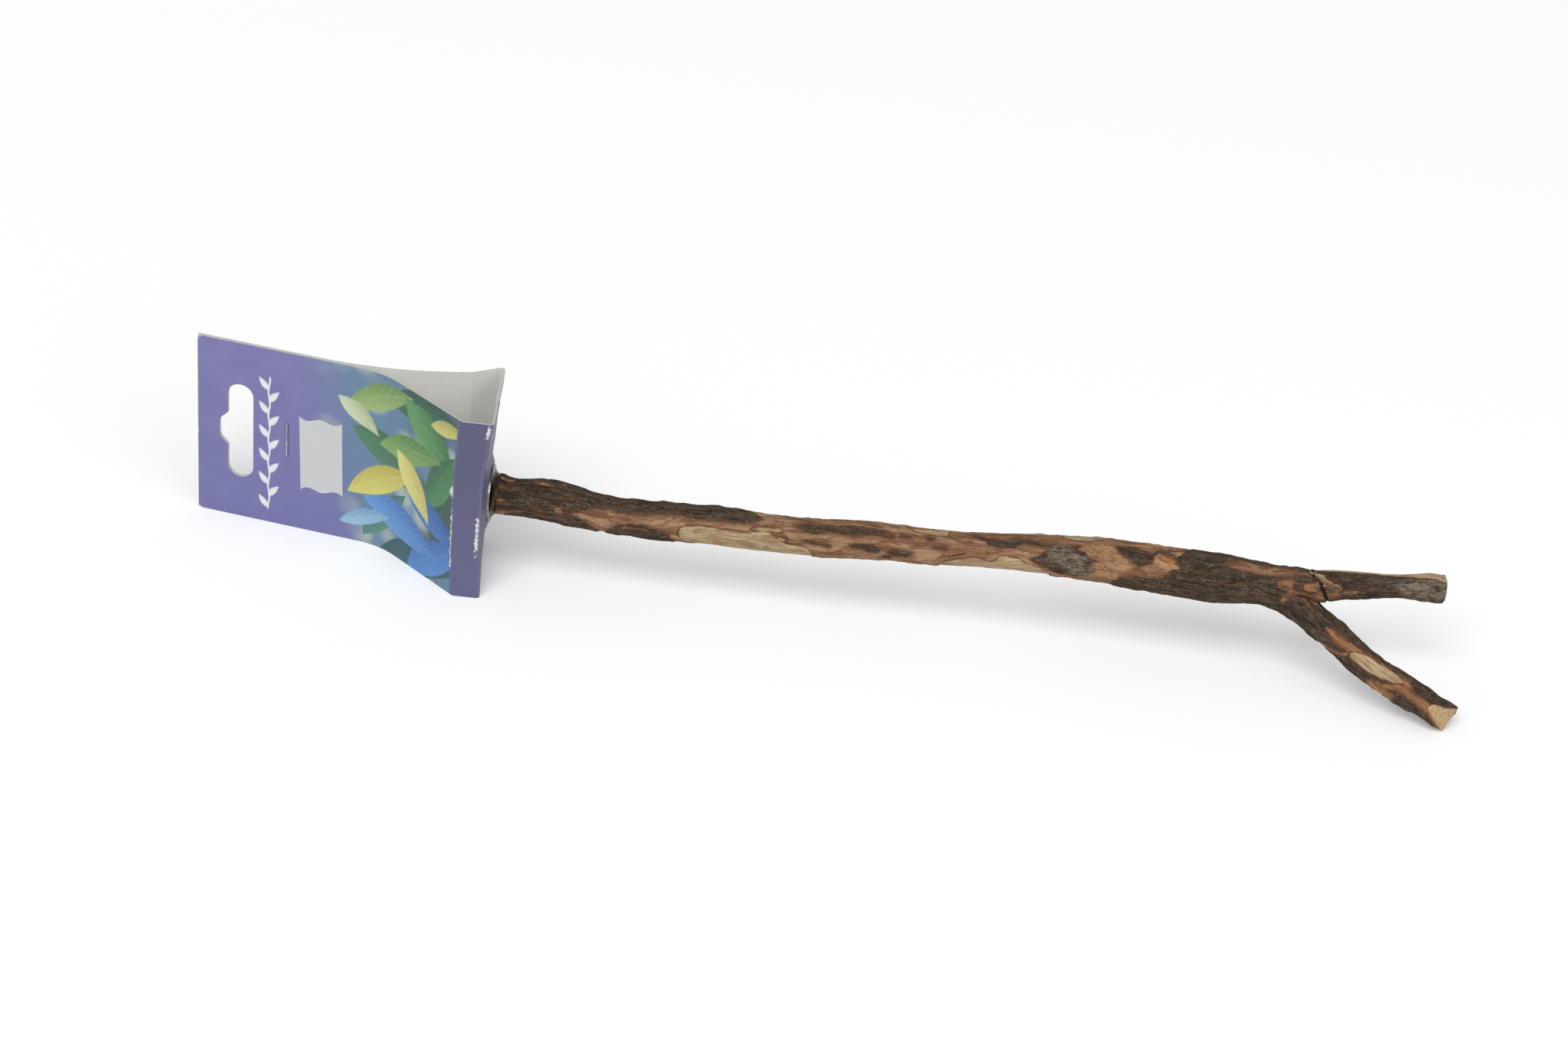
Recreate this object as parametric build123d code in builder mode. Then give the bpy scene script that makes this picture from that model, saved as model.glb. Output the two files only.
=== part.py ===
from build123d import *

import os
from math import cos, pi, radians, sin, tan

# A natural wood perch on a stud, stapled into its folded header card.
# Millimetres, +Z up. +X runs along the stud into the wood, +Y away from the printed front of the card.
# The origin is on the axis of the stud, in the plane where the perch clamps to a cage.

# Stud
stud_diameter = 5.0
stud_free_length = 18.0
stud_chamfer = 0.7
shank_diameter = 4.3
shank_bury = 2.6
screw_diameter = 4.8
screw_length = 17.0
screw_point = 4.5

# Fits on the stud, all radial
thread_clearance = 0.05
washer_clearance = 0.3
card_clearance = 0.5
pilot_clearance = 0.02

# Dished washers
washer_diameter = 17.0
washer_height = 2.4
washer_gauge = 0.6
crown_diameter = 11.6
flare_draw = 0.35

# Wing nut
boss_diameter = 9.2
boss_top_diameter = 7.4
boss_height = 4.8
wing_span = 17.6
wing_height = 8.6
wing_gauge = 2.0
wing_root = 1.2
wing_elbow = 4.2
wing_elbow_radius = 2.5
wing_tip_width = 3.5
wing_tip_radius = 1.6
wing_crotch_radius = 0.8
wing_edge_radius = 0.5

# Folded card: one blank, bent round upright creases
board = 0.5
card_width = 60.0
card_centre_height = 1.9
base_depth = 32.6
base_centre_offset = 2.4
front_lip = 8.1
back_lip_reach = 8.5
back_lip_draw = 5.0
crease_radius = 1.0
neck_reach = 33.2
neck_offset = 8.3
front_neck_ease = 6.8
back_neck_ease = 20.5
tab_length = 57.2
tab_lean = 10.0
layer_gap = 0.2

# Hang slot through both layers of the tab
slot_length = 32.0
slot_width = 8.0
slot_inset = 13.3
slot_notch_width = 11.0
slot_notch_depth = 2.6
slot_notch_radius = 2.4

# Staple through both layers of the tab
staple_wire = 0.6
staple_crown = 12.0
staple_clinch = 4.2
staple_bend = 0.45
staple_gap = 4.0
staple_clearance = 0.05

# Price label on the flat of the front panel
label_width = 13.2
label_length = 25.4
label_gauge = 0.12
label_turn = -1.5
label_margin = 5.3
label_drop = 3.1
label_wave = 1.0
label_wave_count = 2

# Branch: each ring is (along, across, up, girth) of the wood's pith, along measured from the sawn end.
# Girth is the diameter there.
stem_rings = [
    (0.0, 0.0, -0.4, 12.0),
    (9.0, 0.0, -0.4, 11.9),
    (18.0, -0.2, -0.9, 12.7),
    (31.0, -0.7, -2.3, 10.9),
    (43.0, -1.1, -2.5, 11.4),
    (65.0, -2.0, -1.6, 12.2),
    (90.0, -2.8, -1.2, 11.8),
    (112.0, -3.3, 0.6, 11.5),
    (132.0, -3.8, 1.0, 10.7),
    (152.0, -4.0, 2.2, 11.2),
    (174.0, -4.0, 2.9, 12.9),
    (194.0, -4.1, 1.9, 13.8),
    (209.0, -4.1, 1.2, 13.8),
    (222.0, -4.3, 1.8, 10.8),
]
upper_arm_rings = [
    (203.0, -4.1, 1.5, 11.0),
    (215.0, -3.9, 1.4, 11.0),
    (227.0, -3.5, 1.5, 10.3),
    (239.0, -2.7, 2.0, 9.0),
    (251.0, -1.0, 2.4, 8.5),
    (260.5, 0.2, 2.6, 7.2),
    (269.0, 1.3, 2.6, 8.1),
    (276.5, 2.2, 2.2, 8.3),
]
lower_arm_rings = [
    (204.0, -4.1, 1.4, 10.8),
    (220.0, -4.9, 1.2, 10.2),
    (233.0, -7.6, -1.6, 9.4),
    (247.0, -13.2, -9.4, 8.7),
    (261.5, -19.3, -17.0, 8.7),
    (275.0, -24.2, -21.5, 8.4),
    (281.0, -25.8, -24.2, 8.8),
]
stub_rings = [
    (222.0, -4.4, 1.7, 9.6),
    (235.0, -6.4, 3.9, 8.8),
    (245.5, -8.4, 5.6, 7.6),
]
# Saw cuts through the last ring of the lower arm and of the stub. Each faces the front,
# then turns towards the tips and rises by these angles.
tip_cut_turn = 22.0
tip_cut_rise = 7.0
stub_cut_turn = 136.0
stub_cut_rise = 68.0
ring_points = 8
ring_oval = 0.035
ring_lobe = 0.025
oval_turn = 0.021
lobe_turn = 0.034

# Places worked out from the sizes above
stud_axis = Axis.X
wood_face = washer_height
thread_end = wood_face - stud_chamfer
screw_start = wood_face + shank_bury
screw_end = screw_start + screw_length
seat_face = -board
nut_face = seat_face - washer_height
card_low = card_centre_height - card_width / 2

tab_along = Vector(-cos(radians(tab_lean)), sin(radians(tab_lean)))
tab_normal = Vector(sin(radians(tab_lean)), cos(radians(tab_lean)))
half_stack = board + layer_gap / 2
neck = Vector(-neck_reach, neck_offset)
tab_edge = neck + tab_along * tab_length
front_face_y = base_centre_offset - base_depth / 2
back_face_y = base_centre_offset + base_depth / 2
label_inset = tab_length - front_neck_ease - label_margin - label_width / 2
staple_inset = label_inset - label_width / 2 - staple_gap


def tab_plane(inset, rise, drop=0.0, turn=0.0):
    """A plane on the tab, inset from its hang edge, raised towards the printed front and turned in the tab."""
    centre = tab_edge - tab_along * inset - tab_normal * rise
    origin = (centre.X, centre.Y, card_centre_height - drop)
    heading = tab_along * cos(radians(turn)) + Vector(0, 0, sin(radians(turn)))
    return Plane(origin=origin, x_dir=heading, z_dir=-tab_normal)


def ease_radius(heading_in, heading_out, ease):
    """The radius that rounds a corner over the same length, ease, of both its sides."""
    return ease / tan(radians(heading_in.get_angle(heading_out)) / 2)


def ring_plane(rings, index):
    """The plane of one ring, square to the line of its neighbours' centres."""
    before = rings[max(index - 1, 0)]
    after = rings[min(index + 1, len(rings) - 1)]
    heading = Vector(after[:3]) - Vector(before[:3])
    along, across, up, _ = rings[index]
    side = heading.cross(Vector(0, 0, 1))
    return Plane(origin=(wood_face + along, across, up), x_dir=side, z_dir=heading)


def ring_outline(along, girth):
    """Points round a ring that is a little oval and lobed, turning slowly along the wood."""
    points = []
    for step in range(ring_points):
        angle = 2 * pi * step / ring_points
        oval = ring_oval * cos(2 * angle + oval_turn * along)
        lobe = ring_lobe * cos(3 * angle - lobe_turn * along)
        radius = girth / 2 * (1 + oval + lobe)
        points.append((radius * cos(angle), radius * sin(angle)))
    return points


def limb_sections(rings):
    """The sections of one limb, one on each ring."""
    sections = []
    for index, ring in enumerate(rings):
        with BuildSketch(ring_plane(rings, index)) as section:
            with BuildLine():
                Spline(ring_outline(ring[0], ring[3]), periodic=True)
            make_face()
        sections.append(section.sketch)
    return sections


def saw_plane(ring, turn, rise):
    """A saw cut through the centre of a ring: it faces the front, turned towards the tips and raised."""
    along, across, up, _ = ring
    level = cos(radians(rise))
    facing = (level * sin(radians(turn)), -level * cos(radians(turn)), sin(radians(rise)))
    return Plane(origin=(wood_face + along, across, up), z_dir=facing)


# Branch: a stem that forks into two arms, with a sawn-off stub in the crotch, bored for the stud
with BuildPart() as stub:
    loft(limb_sections(stub_rings))
    split(bisect_by=saw_plane(stub_rings[-1], stub_cut_turn, stub_cut_rise), keep=Keep.BOTTOM)
with BuildPart() as lower_arm:
    loft(limb_sections(lower_arm_rings))
    split(bisect_by=saw_plane(lower_arm_rings[-1], tip_cut_turn, tip_cut_rise), keep=Keep.BOTTOM)
with BuildPart() as branch:
    loft(limb_sections(stem_rings))
    loft(limb_sections(upper_arm_rings))
    add(lower_arm.part)
    add(stub.part)
    with BuildSketch(Plane.YZ.offset(wood_face)):
        Circle(screw_diameter / 2 + pilot_clearance)
    extrude(amount=screw_end + screw_point - wood_face, mode=Mode.SUBTRACT)
branch.part.label = "branch"

# Hanger bolt: machine thread, plain shank and wood screw on one axis
with BuildPart() as hanger_bolt:
    with BuildSketch():
        with BuildLine():
            Polyline(
                (-stud_free_length, 0),
                (-stud_free_length, stud_diameter / 2 - stud_chamfer),
                (-stud_free_length + stud_chamfer, stud_diameter / 2),
                (thread_end, stud_diameter / 2),
                (wood_face, shank_diameter / 2),
                (screw_start, shank_diameter / 2),
                (screw_start, screw_diameter / 2),
                (screw_end, screw_diameter / 2),
                (screw_end + screw_point, 0),
                close=True,
            )
        make_face()
    revolve(axis=stud_axis)
hanger_bolt.part.label = "hanger_bolt"


def dished_washer(rim, towards):
    """A trumpet-shaped washer: its rim lies in the plane x = rim and its crown stands towards +X or -X."""
    hole = stud_diameter / 2 + washer_clearance
    crown = crown_diameter / 2
    edge = washer_diameter / 2
    foot = washer_gauge
    inner_crown = crown - washer_gauge
    inner_edge = edge - washer_gauge
    waist = (crown + edge) / 2 - flare_draw
    inner_waist = (inner_crown + inner_edge) / 2 - flare_draw
    outer_middle = (washer_height + foot) / 2 - flare_draw
    inner_middle = (washer_height - foot) / 2 - flare_draw
    with BuildPart() as washer:
        with BuildSketch():
            with BuildLine():
                Polyline(
                    (rim, inner_edge),
                    (rim, edge),
                    (rim + towards * foot, edge),
                )
                ThreePointArc(
                    (rim + towards * foot, edge),
                    (rim + towards * outer_middle, waist),
                    (rim + towards * washer_height, crown),
                )
                Polyline(
                    (rim + towards * washer_height, crown),
                    (rim + towards * washer_height, hole),
                    (rim + towards * (washer_height - foot), hole),
                    (rim + towards * (washer_height - foot), inner_crown),
                )
                ThreePointArc(
                    (rim + towards * (washer_height - foot), inner_crown),
                    (rim + towards * inner_middle, inner_waist),
                    (rim, inner_edge),
                )
            make_face()
        revolve(axis=stud_axis)
    return washer


branch_washer = dished_washer(rim=0.0, towards=1)
branch_washer.part.label = "branch_washer"
nut_washer = dished_washer(rim=seat_face, towards=-1)
nut_washer.part.label = "nut_washer"

# Wing nut: two rounded upright wings on a tapered boss, bored for the stud
nut_bore = stud_diameter / 2 + thread_clearance
boss_top = nut_face - boss_height
wing_top = nut_face - wing_height
with BuildPart() as wing_nut:
    with BuildSketch(Plane.XZ):
        with BuildLine():
            FilletPolyline(
                (nut_face - wing_root, nut_bore),
                (nut_face - wing_elbow, wing_span / 2),
                (wing_top, wing_span / 2),
                (wing_top, wing_span / 2 - wing_tip_width),
                (boss_top, boss_top_diameter / 2),
                (boss_top, nut_bore),
                radius=[wing_elbow_radius, wing_tip_radius, wing_tip_radius, wing_crotch_radius],
            )
            Line((boss_top, nut_bore), (nut_face - wing_root, nut_bore))
        make_face()
        mirror(about=Plane.XZ)
    extrude(amount=wing_gauge / 2, both=True)
    fillet(wing_nut.faces().filter_by(Axis.Y).edges(), wing_edge_radius)
    with BuildSketch():
        with BuildLine():
            Polyline(
                (nut_face, 0),
                (nut_face, boss_diameter / 2),
                (boss_top, boss_top_diameter / 2),
                (boss_top, 0),
                close=True,
            )
        make_face()
    revolve(axis=stud_axis)
    with BuildSketch(Plane.YZ.offset(nut_face)):
        Circle(nut_bore)
    extrude(amount=-wing_height, mode=Mode.SUBTRACT)
wing_nut.part.label = "wing_nut"

# Header card: the outside of the folded blank, thickened inwards, with its slot and holes
front_neck = neck - tab_normal * half_stack
back_neck = neck + tab_normal * half_stack
front_crease = Vector(-front_lip, front_face_y)
back_crease = Vector(-back_lip_reach, back_face_y - back_lip_draw)
front_neck_radius = ease_radius(tab_along, front_neck - front_crease, front_neck_ease)
back_neck_radius = ease_radius(tab_along, back_neck - back_crease, back_neck_ease)
with BuildPart() as header_card:
    with BuildSketch(Plane.XY.offset(card_low)):
        with BuildLine():
            FilletPolyline(
                front_neck + tab_along * tab_length,
                front_neck,
                front_crease,
                (0, front_face_y),
                (0, back_face_y),
                back_crease,
                back_neck,
                back_neck + tab_along * tab_length,
                radius=[front_neck_radius] + 4 * [crease_radius] + [back_neck_radius],
            )
            offset(amount=board, side=Side.RIGHT)
        make_face()
    extrude(amount=card_width)
    with BuildSketch(Plane.YZ):
        Circle(stud_diameter / 2 + card_clearance)
    extrude(amount=board, both=True, mode=Mode.SUBTRACT)
    with BuildSketch(tab_plane(slot_inset, 0)) as hang_slot:
        SlotOverall(slot_length, slot_width, rotation=90)
        with Locations((slot_width / 2 + slot_notch_depth / 2, 0)):
            Trapezoid(slot_notch_width, slot_notch_depth, 45, rotation=-90)
        fillet(hang_slot.vertices().group_by(Axis.X)[-1], slot_notch_radius)
    extrude(amount=2 * half_stack, both=True, mode=Mode.SUBTRACT)
    with BuildSketch(tab_plane(staple_inset, 0)):
        with GridLocations(0, staple_crown - staple_wire, 1, 2):
            Circle(staple_wire / 2 + staple_clearance)
    extrude(amount=2 * half_stack, both=True, mode=Mode.SUBTRACT)
header_card.part.label = "header_card"

# Staple: wire bent round both layers and clinched behind the tab
staple_rise = half_stack + staple_wire / 2 + staple_clearance
staple_half = (staple_crown - staple_wire) / 2
with BuildPart() as staple:
    with BuildLine(tab_plane(staple_inset, 0)) as staple_line:
        FilletPolyline(
            (0, staple_half - staple_clinch, -staple_rise),
            (0, staple_half, -staple_rise),
            (0, staple_half, staple_rise),
            (0, -staple_half, staple_rise),
            (0, -staple_half, -staple_rise),
            (0, staple_clinch - staple_half, -staple_rise),
            radius=staple_bend,
        )
    with BuildSketch(Plane(origin=staple_line.line @ 0, z_dir=staple_line.line % 0)):
        Circle(staple_wire / 2)
    sweep()
staple.part.label = "staple"

# Price label: thin paper with straight sides and wavy ends
label_plane = tab_plane(label_inset, half_stack, label_drop, label_turn)
with BuildPart() as price_label:
    with BuildSketch(label_plane):
        with BuildLine():
            wave_points = []
            for step in range(2 * label_wave_count + 1):
                side = label_width * (step / (2 * label_wave_count) - 0.5)
                rise = label_length / 2 - (label_wave if step % 2 else 0)
                wave_points.append((side, rise))
            low_points = [(side, -rise) for side, rise in reversed(wave_points)]
            Spline(wave_points)
            Line(wave_points[-1], low_points[0])
            Spline(low_points)
            Line(low_points[-1], wave_points[0])
        make_face()
    extrude(amount=label_gauge)
price_label.part.label = "price_label"

os.makedirs("parts", exist_ok=True)
for piece in (branch, hanger_bolt, branch_washer, nut_washer, wing_nut, header_card, staple, price_label):
    export_step(piece.part, f"parts/{piece.part.label}.step")
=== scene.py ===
"""Looks of a natural wood cage perch in its folded header card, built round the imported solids."""
import logging
import math
from dataclasses import dataclass, field
from enum import Enum
from typing import Any, Mapping, Optional, Sequence, Union

import bpy
import numpy as np
from mathutils import Matrix, Vector


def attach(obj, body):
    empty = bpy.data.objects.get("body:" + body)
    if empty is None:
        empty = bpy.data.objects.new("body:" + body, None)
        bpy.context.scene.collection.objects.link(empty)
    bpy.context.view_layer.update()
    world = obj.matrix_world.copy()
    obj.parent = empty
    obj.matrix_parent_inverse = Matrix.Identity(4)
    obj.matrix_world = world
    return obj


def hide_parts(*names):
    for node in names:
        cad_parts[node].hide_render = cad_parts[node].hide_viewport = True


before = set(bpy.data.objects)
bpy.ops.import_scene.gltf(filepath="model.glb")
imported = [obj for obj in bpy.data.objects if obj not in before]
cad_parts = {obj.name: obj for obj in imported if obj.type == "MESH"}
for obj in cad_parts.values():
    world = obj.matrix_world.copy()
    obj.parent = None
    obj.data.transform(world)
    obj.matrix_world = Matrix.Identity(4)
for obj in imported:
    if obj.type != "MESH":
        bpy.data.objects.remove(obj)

LOG = logging.getLogger("perch")
MM = 0.001  # in metres
WELD = 0.000002  # corners this near are merged, in metres
TINY = 1e-6
FLAT_UNIT = 100.0  # mm of flat card to one unit of its map
# the lattice noise: a step for each axis, a mixer, its words and the shift between octaves
LATTICE = (374761393, 668265263, 2147483647)
SCRAMBLE = 1274126177
WORD = 0xFFFFFFFF
HALF_WORD = 0xFFFF
OCTAVE_SHIFT = 17.3
# how far noise moves a patch's border: mm along, degrees round and mm out; then what is far outside, mm
SPLINTER = 4.0
SWAY = 14.0
FRAY = 0.8
CHIP = 0.5
FAR_OUT = -9.0
Rgba = tuple[float, float, float, float]
Plug = Union["Shade", float, int, str, Sequence[float]]


def paint(red: float, green: float, blue: float) -> Rgba:
    """Turns a screen colour into the linear colour that a shader takes.

    Args:
        red: red channel, 0 to 255.
        green: green channel, 0 to 255.
        blue: blue channel, 0 to 255.

    Returns:
        The linear colour with full opacity.
    """
    channels = []
    for channel in (red, green, blue):
        level = channel / 255.0
        channels.append(level / 12.92 if level <= 0.04045 else ((level + 0.055) / 1.055) ** 2.4)
    return (channels[0], channels[1], channels[2], 1.0)


class Shade:
    """One output socket of a recipe, with arithmetic that adds Math nodes."""

    def __init__(self, recipe: "Recipe", socket: Optional[bpy.types.NodeSocket]) -> None:
        """Keeps the recipe and the socket."""
        self.recipe = recipe
        self.socket = socket

    def _math(self, operation: str, *values: Plug, clamp: bool = False) -> "Shade":
        """Adds a Math node.

        Args:
            operation: the Math node's operation.
            values: its inputs in order.
            clamp: whether the result is kept between 0 and 1.

        Returns:
            The result.
        """
        return self.recipe.node(
            "ShaderNodeMath", {"operation": operation, "use_clamp": clamp}, dict(enumerate(values))
        )

    def __add__(self, other: Plug) -> "Shade":
        """Sum."""
        return self._math("ADD", self, other)

    def __radd__(self, other: Plug) -> "Shade":
        """Sum, from the right."""
        return self._math("ADD", other, self)

    def __sub__(self, other: Plug) -> "Shade":
        """Difference."""
        return self._math("SUBTRACT", self, other)

    def __rsub__(self, other: Plug) -> "Shade":
        """Difference, from the right."""
        return self._math("SUBTRACT", other, self)

    def __mul__(self, other: Plug) -> "Shade":
        """Product."""
        return self._math("MULTIPLY", self, other)

    def __rmul__(self, other: Plug) -> "Shade":
        """Product, from the right."""
        return self._math("MULTIPLY", other, self)

    def __truediv__(self, other: Plug) -> "Shade":
        """Quotient."""
        return self._math("DIVIDE", self, other)

    def __rtruediv__(self, other: Plug) -> "Shade":
        """Quotient, from the right."""
        return self._math("DIVIDE", other, self)

    def __abs__(self) -> "Shade":
        """Size without sign."""
        return self._math("ABSOLUTE", self)

    def least(self, other: Plug) -> "Shade":
        """The smaller of the two."""
        return self._math("MINIMUM", self, other)

    def most(self, other: Plug) -> "Shade":
        """The larger of the two."""
        return self._math("MAXIMUM", self, other)

    def wave(self) -> "Shade":
        """Sine of the value."""
        return self._math("SINE", self)

    def rise(self, low: float, high: float) -> "Shade":
        """Smooth step of the value.

        Args:
            low: where the result is 0.
            high: where the result is 1; below low for a falling step.

        Returns:
            A weight from 0 to 1.
        """
        return self.recipe.node(
            "ShaderNodeMapRange",
            {"interpolation_type": "SMOOTHSTEP"},
            {0: self, 1: low, 2: high, 3: 0.0, 4: 1.0},
        )

    def scaled(self, factors: Sequence[float]) -> "Shade":
        """A vector with each part multiplied by its factor."""
        return self.recipe.node(
            "ShaderNodeVectorMath", {"operation": "MULTIPLY"}, {0: self, 1: tuple(factors)}
        )

    def part(self, index: int) -> "Shade":
        """One part of a vector: 0, 1 or 2."""
        return self.recipe.node("ShaderNodeSeparateXYZ", None, {0: self}, index)

    def off_axis(self) -> "Shade":
        """Distance of a place from the first axis."""
        radial = self.scaled((0.0, 1.0, 1.0))
        return self.recipe.node("ShaderNodeVectorMath", {"operation": "LENGTH"}, {0: radial}, "Value")


class Recipe:
    """A material being written. Every node is added through node()."""

    def __init__(self, name: str) -> None:
        """Starts an empty material of that name."""
        self.material = bpy.data.materials.new(name)
        self.material.use_nodes = True
        self.tree = self.material.node_tree
        self.tree.nodes.clear()

    def node(
        self,
        kind: str,
        settings: Optional[Mapping[str, Any]] = None,
        inputs: Optional[Mapping[Union[str, int], Plug]] = None,
        output: Union[int, str] = 0,
    ) -> Shade:
        """Adds a node.

        Args:
            kind: the node's type.
            settings: its properties, set first; "stops" holds a ramp's places and colours.
            inputs: values or links of its sockets, by name or number.
            output: which of its outputs is returned.

        Returns:
            The output, or an empty Shade for a node without one.
        """
        made = self.tree.nodes.new(kind)
        for key, value in (settings or {}).items():
            if key == "stops":
                elements = made.color_ramp.elements
                while len(elements) < len(value):
                    elements.new(0.5)
                for element, (place, colour) in zip(elements, value):
                    element.position = place
                    element.color = colour
            else:
                setattr(made, key, value)
        for key, value in (inputs or {}).items():
            if isinstance(value, Shade):
                self.tree.links.new(value.socket, made.inputs[key])
            else:
                made.inputs[key].default_value = value
        return Shade(self, made.outputs[output] if len(made.outputs) else None)

    def mix(self, weight: Plug, first: Plug, second: Plug, blend: str = "MIX") -> Shade:
        """Mixes two colours.

        Args:
            weight: 0 gives the first, 1 the second.
            first: the colour underneath.
            second: the colour on top.
            blend: the Mix node's blend type.

        Returns:
            The mixed colour.
        """
        settings = {"data_type": "RGBA", "blend_type": blend, "clamp_factor": True}
        return self.node("ShaderNodeMix", settings, {0: weight, 6: first, 7: second}, 2)

    def coats(self, base: Plug, *coats: tuple[Plug, Plug]) -> Shade:
        """Lays coats of colour over one another.

        Args:
            base: the colour underneath.
            coats: the weight and the colour of each coat, in order.

        Returns:
            The colour on top.
        """
        for weight, colour in coats:
            base = self.mix(weight, base, colour)
        return base

    def noise(
        self, place: Shade, scale: float, detail: float = 2.0, roughness: float = 0.5, warp: float = 0.0
    ) -> Shade:
        """Adds a noise texture.

        Args:
            place: the coordinates it reads.
            scale: its scale.
            detail: its octaves.
            roughness: weight of the finer octaves.
            warp: its distortion.

        Returns:
            The noise value, about 0.5 on average.
        """
        inputs = {
            "Vector": place, "Scale": scale, "Detail": detail, "Roughness": roughness, "Distortion": warp,
        }
        return self.node("ShaderNodeTexNoise", {"noise_dimensions": "3D"}, inputs)

    def streak(
        self,
        grain: Shade,
        stretch: float,
        scale: float,
        detail: float,
        roughness: float = 0.5,
        warp: float = 0.0,
    ) -> Shade:
        """Adds a noise that is drawn out along the grain.

        Args:
            grain: coordinates whose first part runs along the grain.
            stretch: the factor on that part.
            scale: the noise's scale.
            detail: its octaves.
            roughness: weight of the finer octaves.
            warp: its distortion.

        Returns:
            The noise value, about 0.5 on average.
        """
        return self.noise(grain.scaled((stretch, 1.0, 1.0)), scale, detail, roughness, warp)

    def weight(self, name: str) -> Shade:
        """A number stored on the mesh."""
        return self.node("ShaderNodeAttribute", {"attribute_name": name}, None, "Fac")

    def arrow(self, name: str) -> Shade:
        """A vector stored on the mesh."""
        return self.node("ShaderNodeAttribute", {"attribute_name": name}, None, "Vector")

    def place(self) -> Shade:
        """Object coordinates in millimetres."""
        return self.node("ShaderNodeTexCoord", None, None, "Object").scaled((1 / MM,) * 3)

    def bump(self, height: Plug, strength: float, distance: float) -> Shade:
        """A normal roughened by a height.

        Args:
            height: the height, 0 to 1.
            strength: how much of it shows.
            distance: what a height of 1 stands for, in metres.

        Returns:
            The normal.
        """
        return self.node(
            "ShaderNodeBump", None, {"Height": height, "Strength": strength, "Distance": distance}
        )

    def surface(self, sockets: Mapping[str, Plug]) -> bpy.types.Material:
        """Closes the recipe with a Principled shader.

        Args:
            sockets: the shader's sockets.

        Returns:
            The finished material.
        """
        shader = self.node("ShaderNodeBsdfPrincipled", None, sockets)
        self.node("ShaderNodeOutputMaterial", None, {"Surface": shader})
        return self.material


class Shop:
    """Hand moves on Blender objects that several pieces share."""

    @staticmethod
    def deselect() -> None:
        """Leaves edit mode and deselects everything."""
        if bpy.context.object and bpy.context.object.mode != "OBJECT":
            bpy.ops.object.mode_set(mode="OBJECT")
        bpy.ops.object.select_all(action="DESELECT")

    @classmethod
    def hold(cls, piece: bpy.types.Object) -> None:
        """Makes one object the only one selected, and active."""
        cls.deselect()
        piece.select_set(True)
        bpy.context.view_layer.objects.active = piece

    @classmethod
    def copy_of(cls, node: str, name: str) -> bpy.types.Object:
        """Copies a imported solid's mesh and merges its loose triangles.

        Args:
            node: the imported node.
            name: the new piece's name.

        Returns:
            The new object at the origin.
        """
        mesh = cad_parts[node].data.copy()
        mesh.name = name
        mesh.materials.clear()
        piece = bpy.data.objects.new(name, mesh)
        bpy.context.scene.collection.objects.link(piece)
        cls.hold(piece)
        bpy.ops.object.mode_set(mode="EDIT")
        bpy.ops.mesh.select_all(action="SELECT")
        bpy.ops.mesh.remove_doubles(threshold=WELD)
        bpy.ops.mesh.customdata_custom_splitnormals_clear()
        bpy.ops.object.mode_set(mode="OBJECT")
        return piece

    @classmethod
    def apply(cls, piece: bpy.types.Object, kind: str, **settings: Any) -> None:
        """Adds a modifier to a piece and applies it.

        Args:
            piece: the object.
            kind: the modifier's type.
            settings: its properties.
        """
        cls.hold(piece)
        modifier = piece.modifiers.new(kind.lower(), kind)
        for key, value in settings.items():
            setattr(modifier, key, value)
        bpy.ops.object.modifier_apply(modifier=modifier.name)

    @staticmethod
    def points(piece: bpy.types.Object) -> np.ndarray:
        """A mesh's points in millimetres, one row each."""
        flat = np.empty(len(piece.data.vertices) * 3)
        piece.data.vertices.foreach_get("co", flat)
        return flat.reshape(-1, 3) / MM

    @staticmethod
    def set_points(piece: bpy.types.Object, points: np.ndarray) -> None:
        """Moves a mesh's points to places in millimetres."""
        piece.data.vertices.foreach_set("co", (points * MM).ravel())
        piece.data.update()

    @staticmethod
    def store(piece: bpy.types.Object, name: str, values: np.ndarray) -> None:
        """Stores one number or vector per point on a mesh.

        Args:
            piece: the object.
            name: the attribute's name.
            values: one number or one row of three per point.
        """
        vector = values.ndim == 2
        kind = "FLOAT_VECTOR" if vector else "FLOAT"
        layer = piece.data.attributes.new(name, kind, "POINT")
        layer.data.foreach_set("vector" if vector else "value", values.astype(np.float32).ravel())

    @staticmethod
    def dress(piece: bpy.types.Object, *materials: bpy.types.Material) -> None:
        """Gives a mesh these materials and no others."""
        piece.data.materials.clear()
        for material in materials:
            piece.data.materials.append(material)


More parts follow.
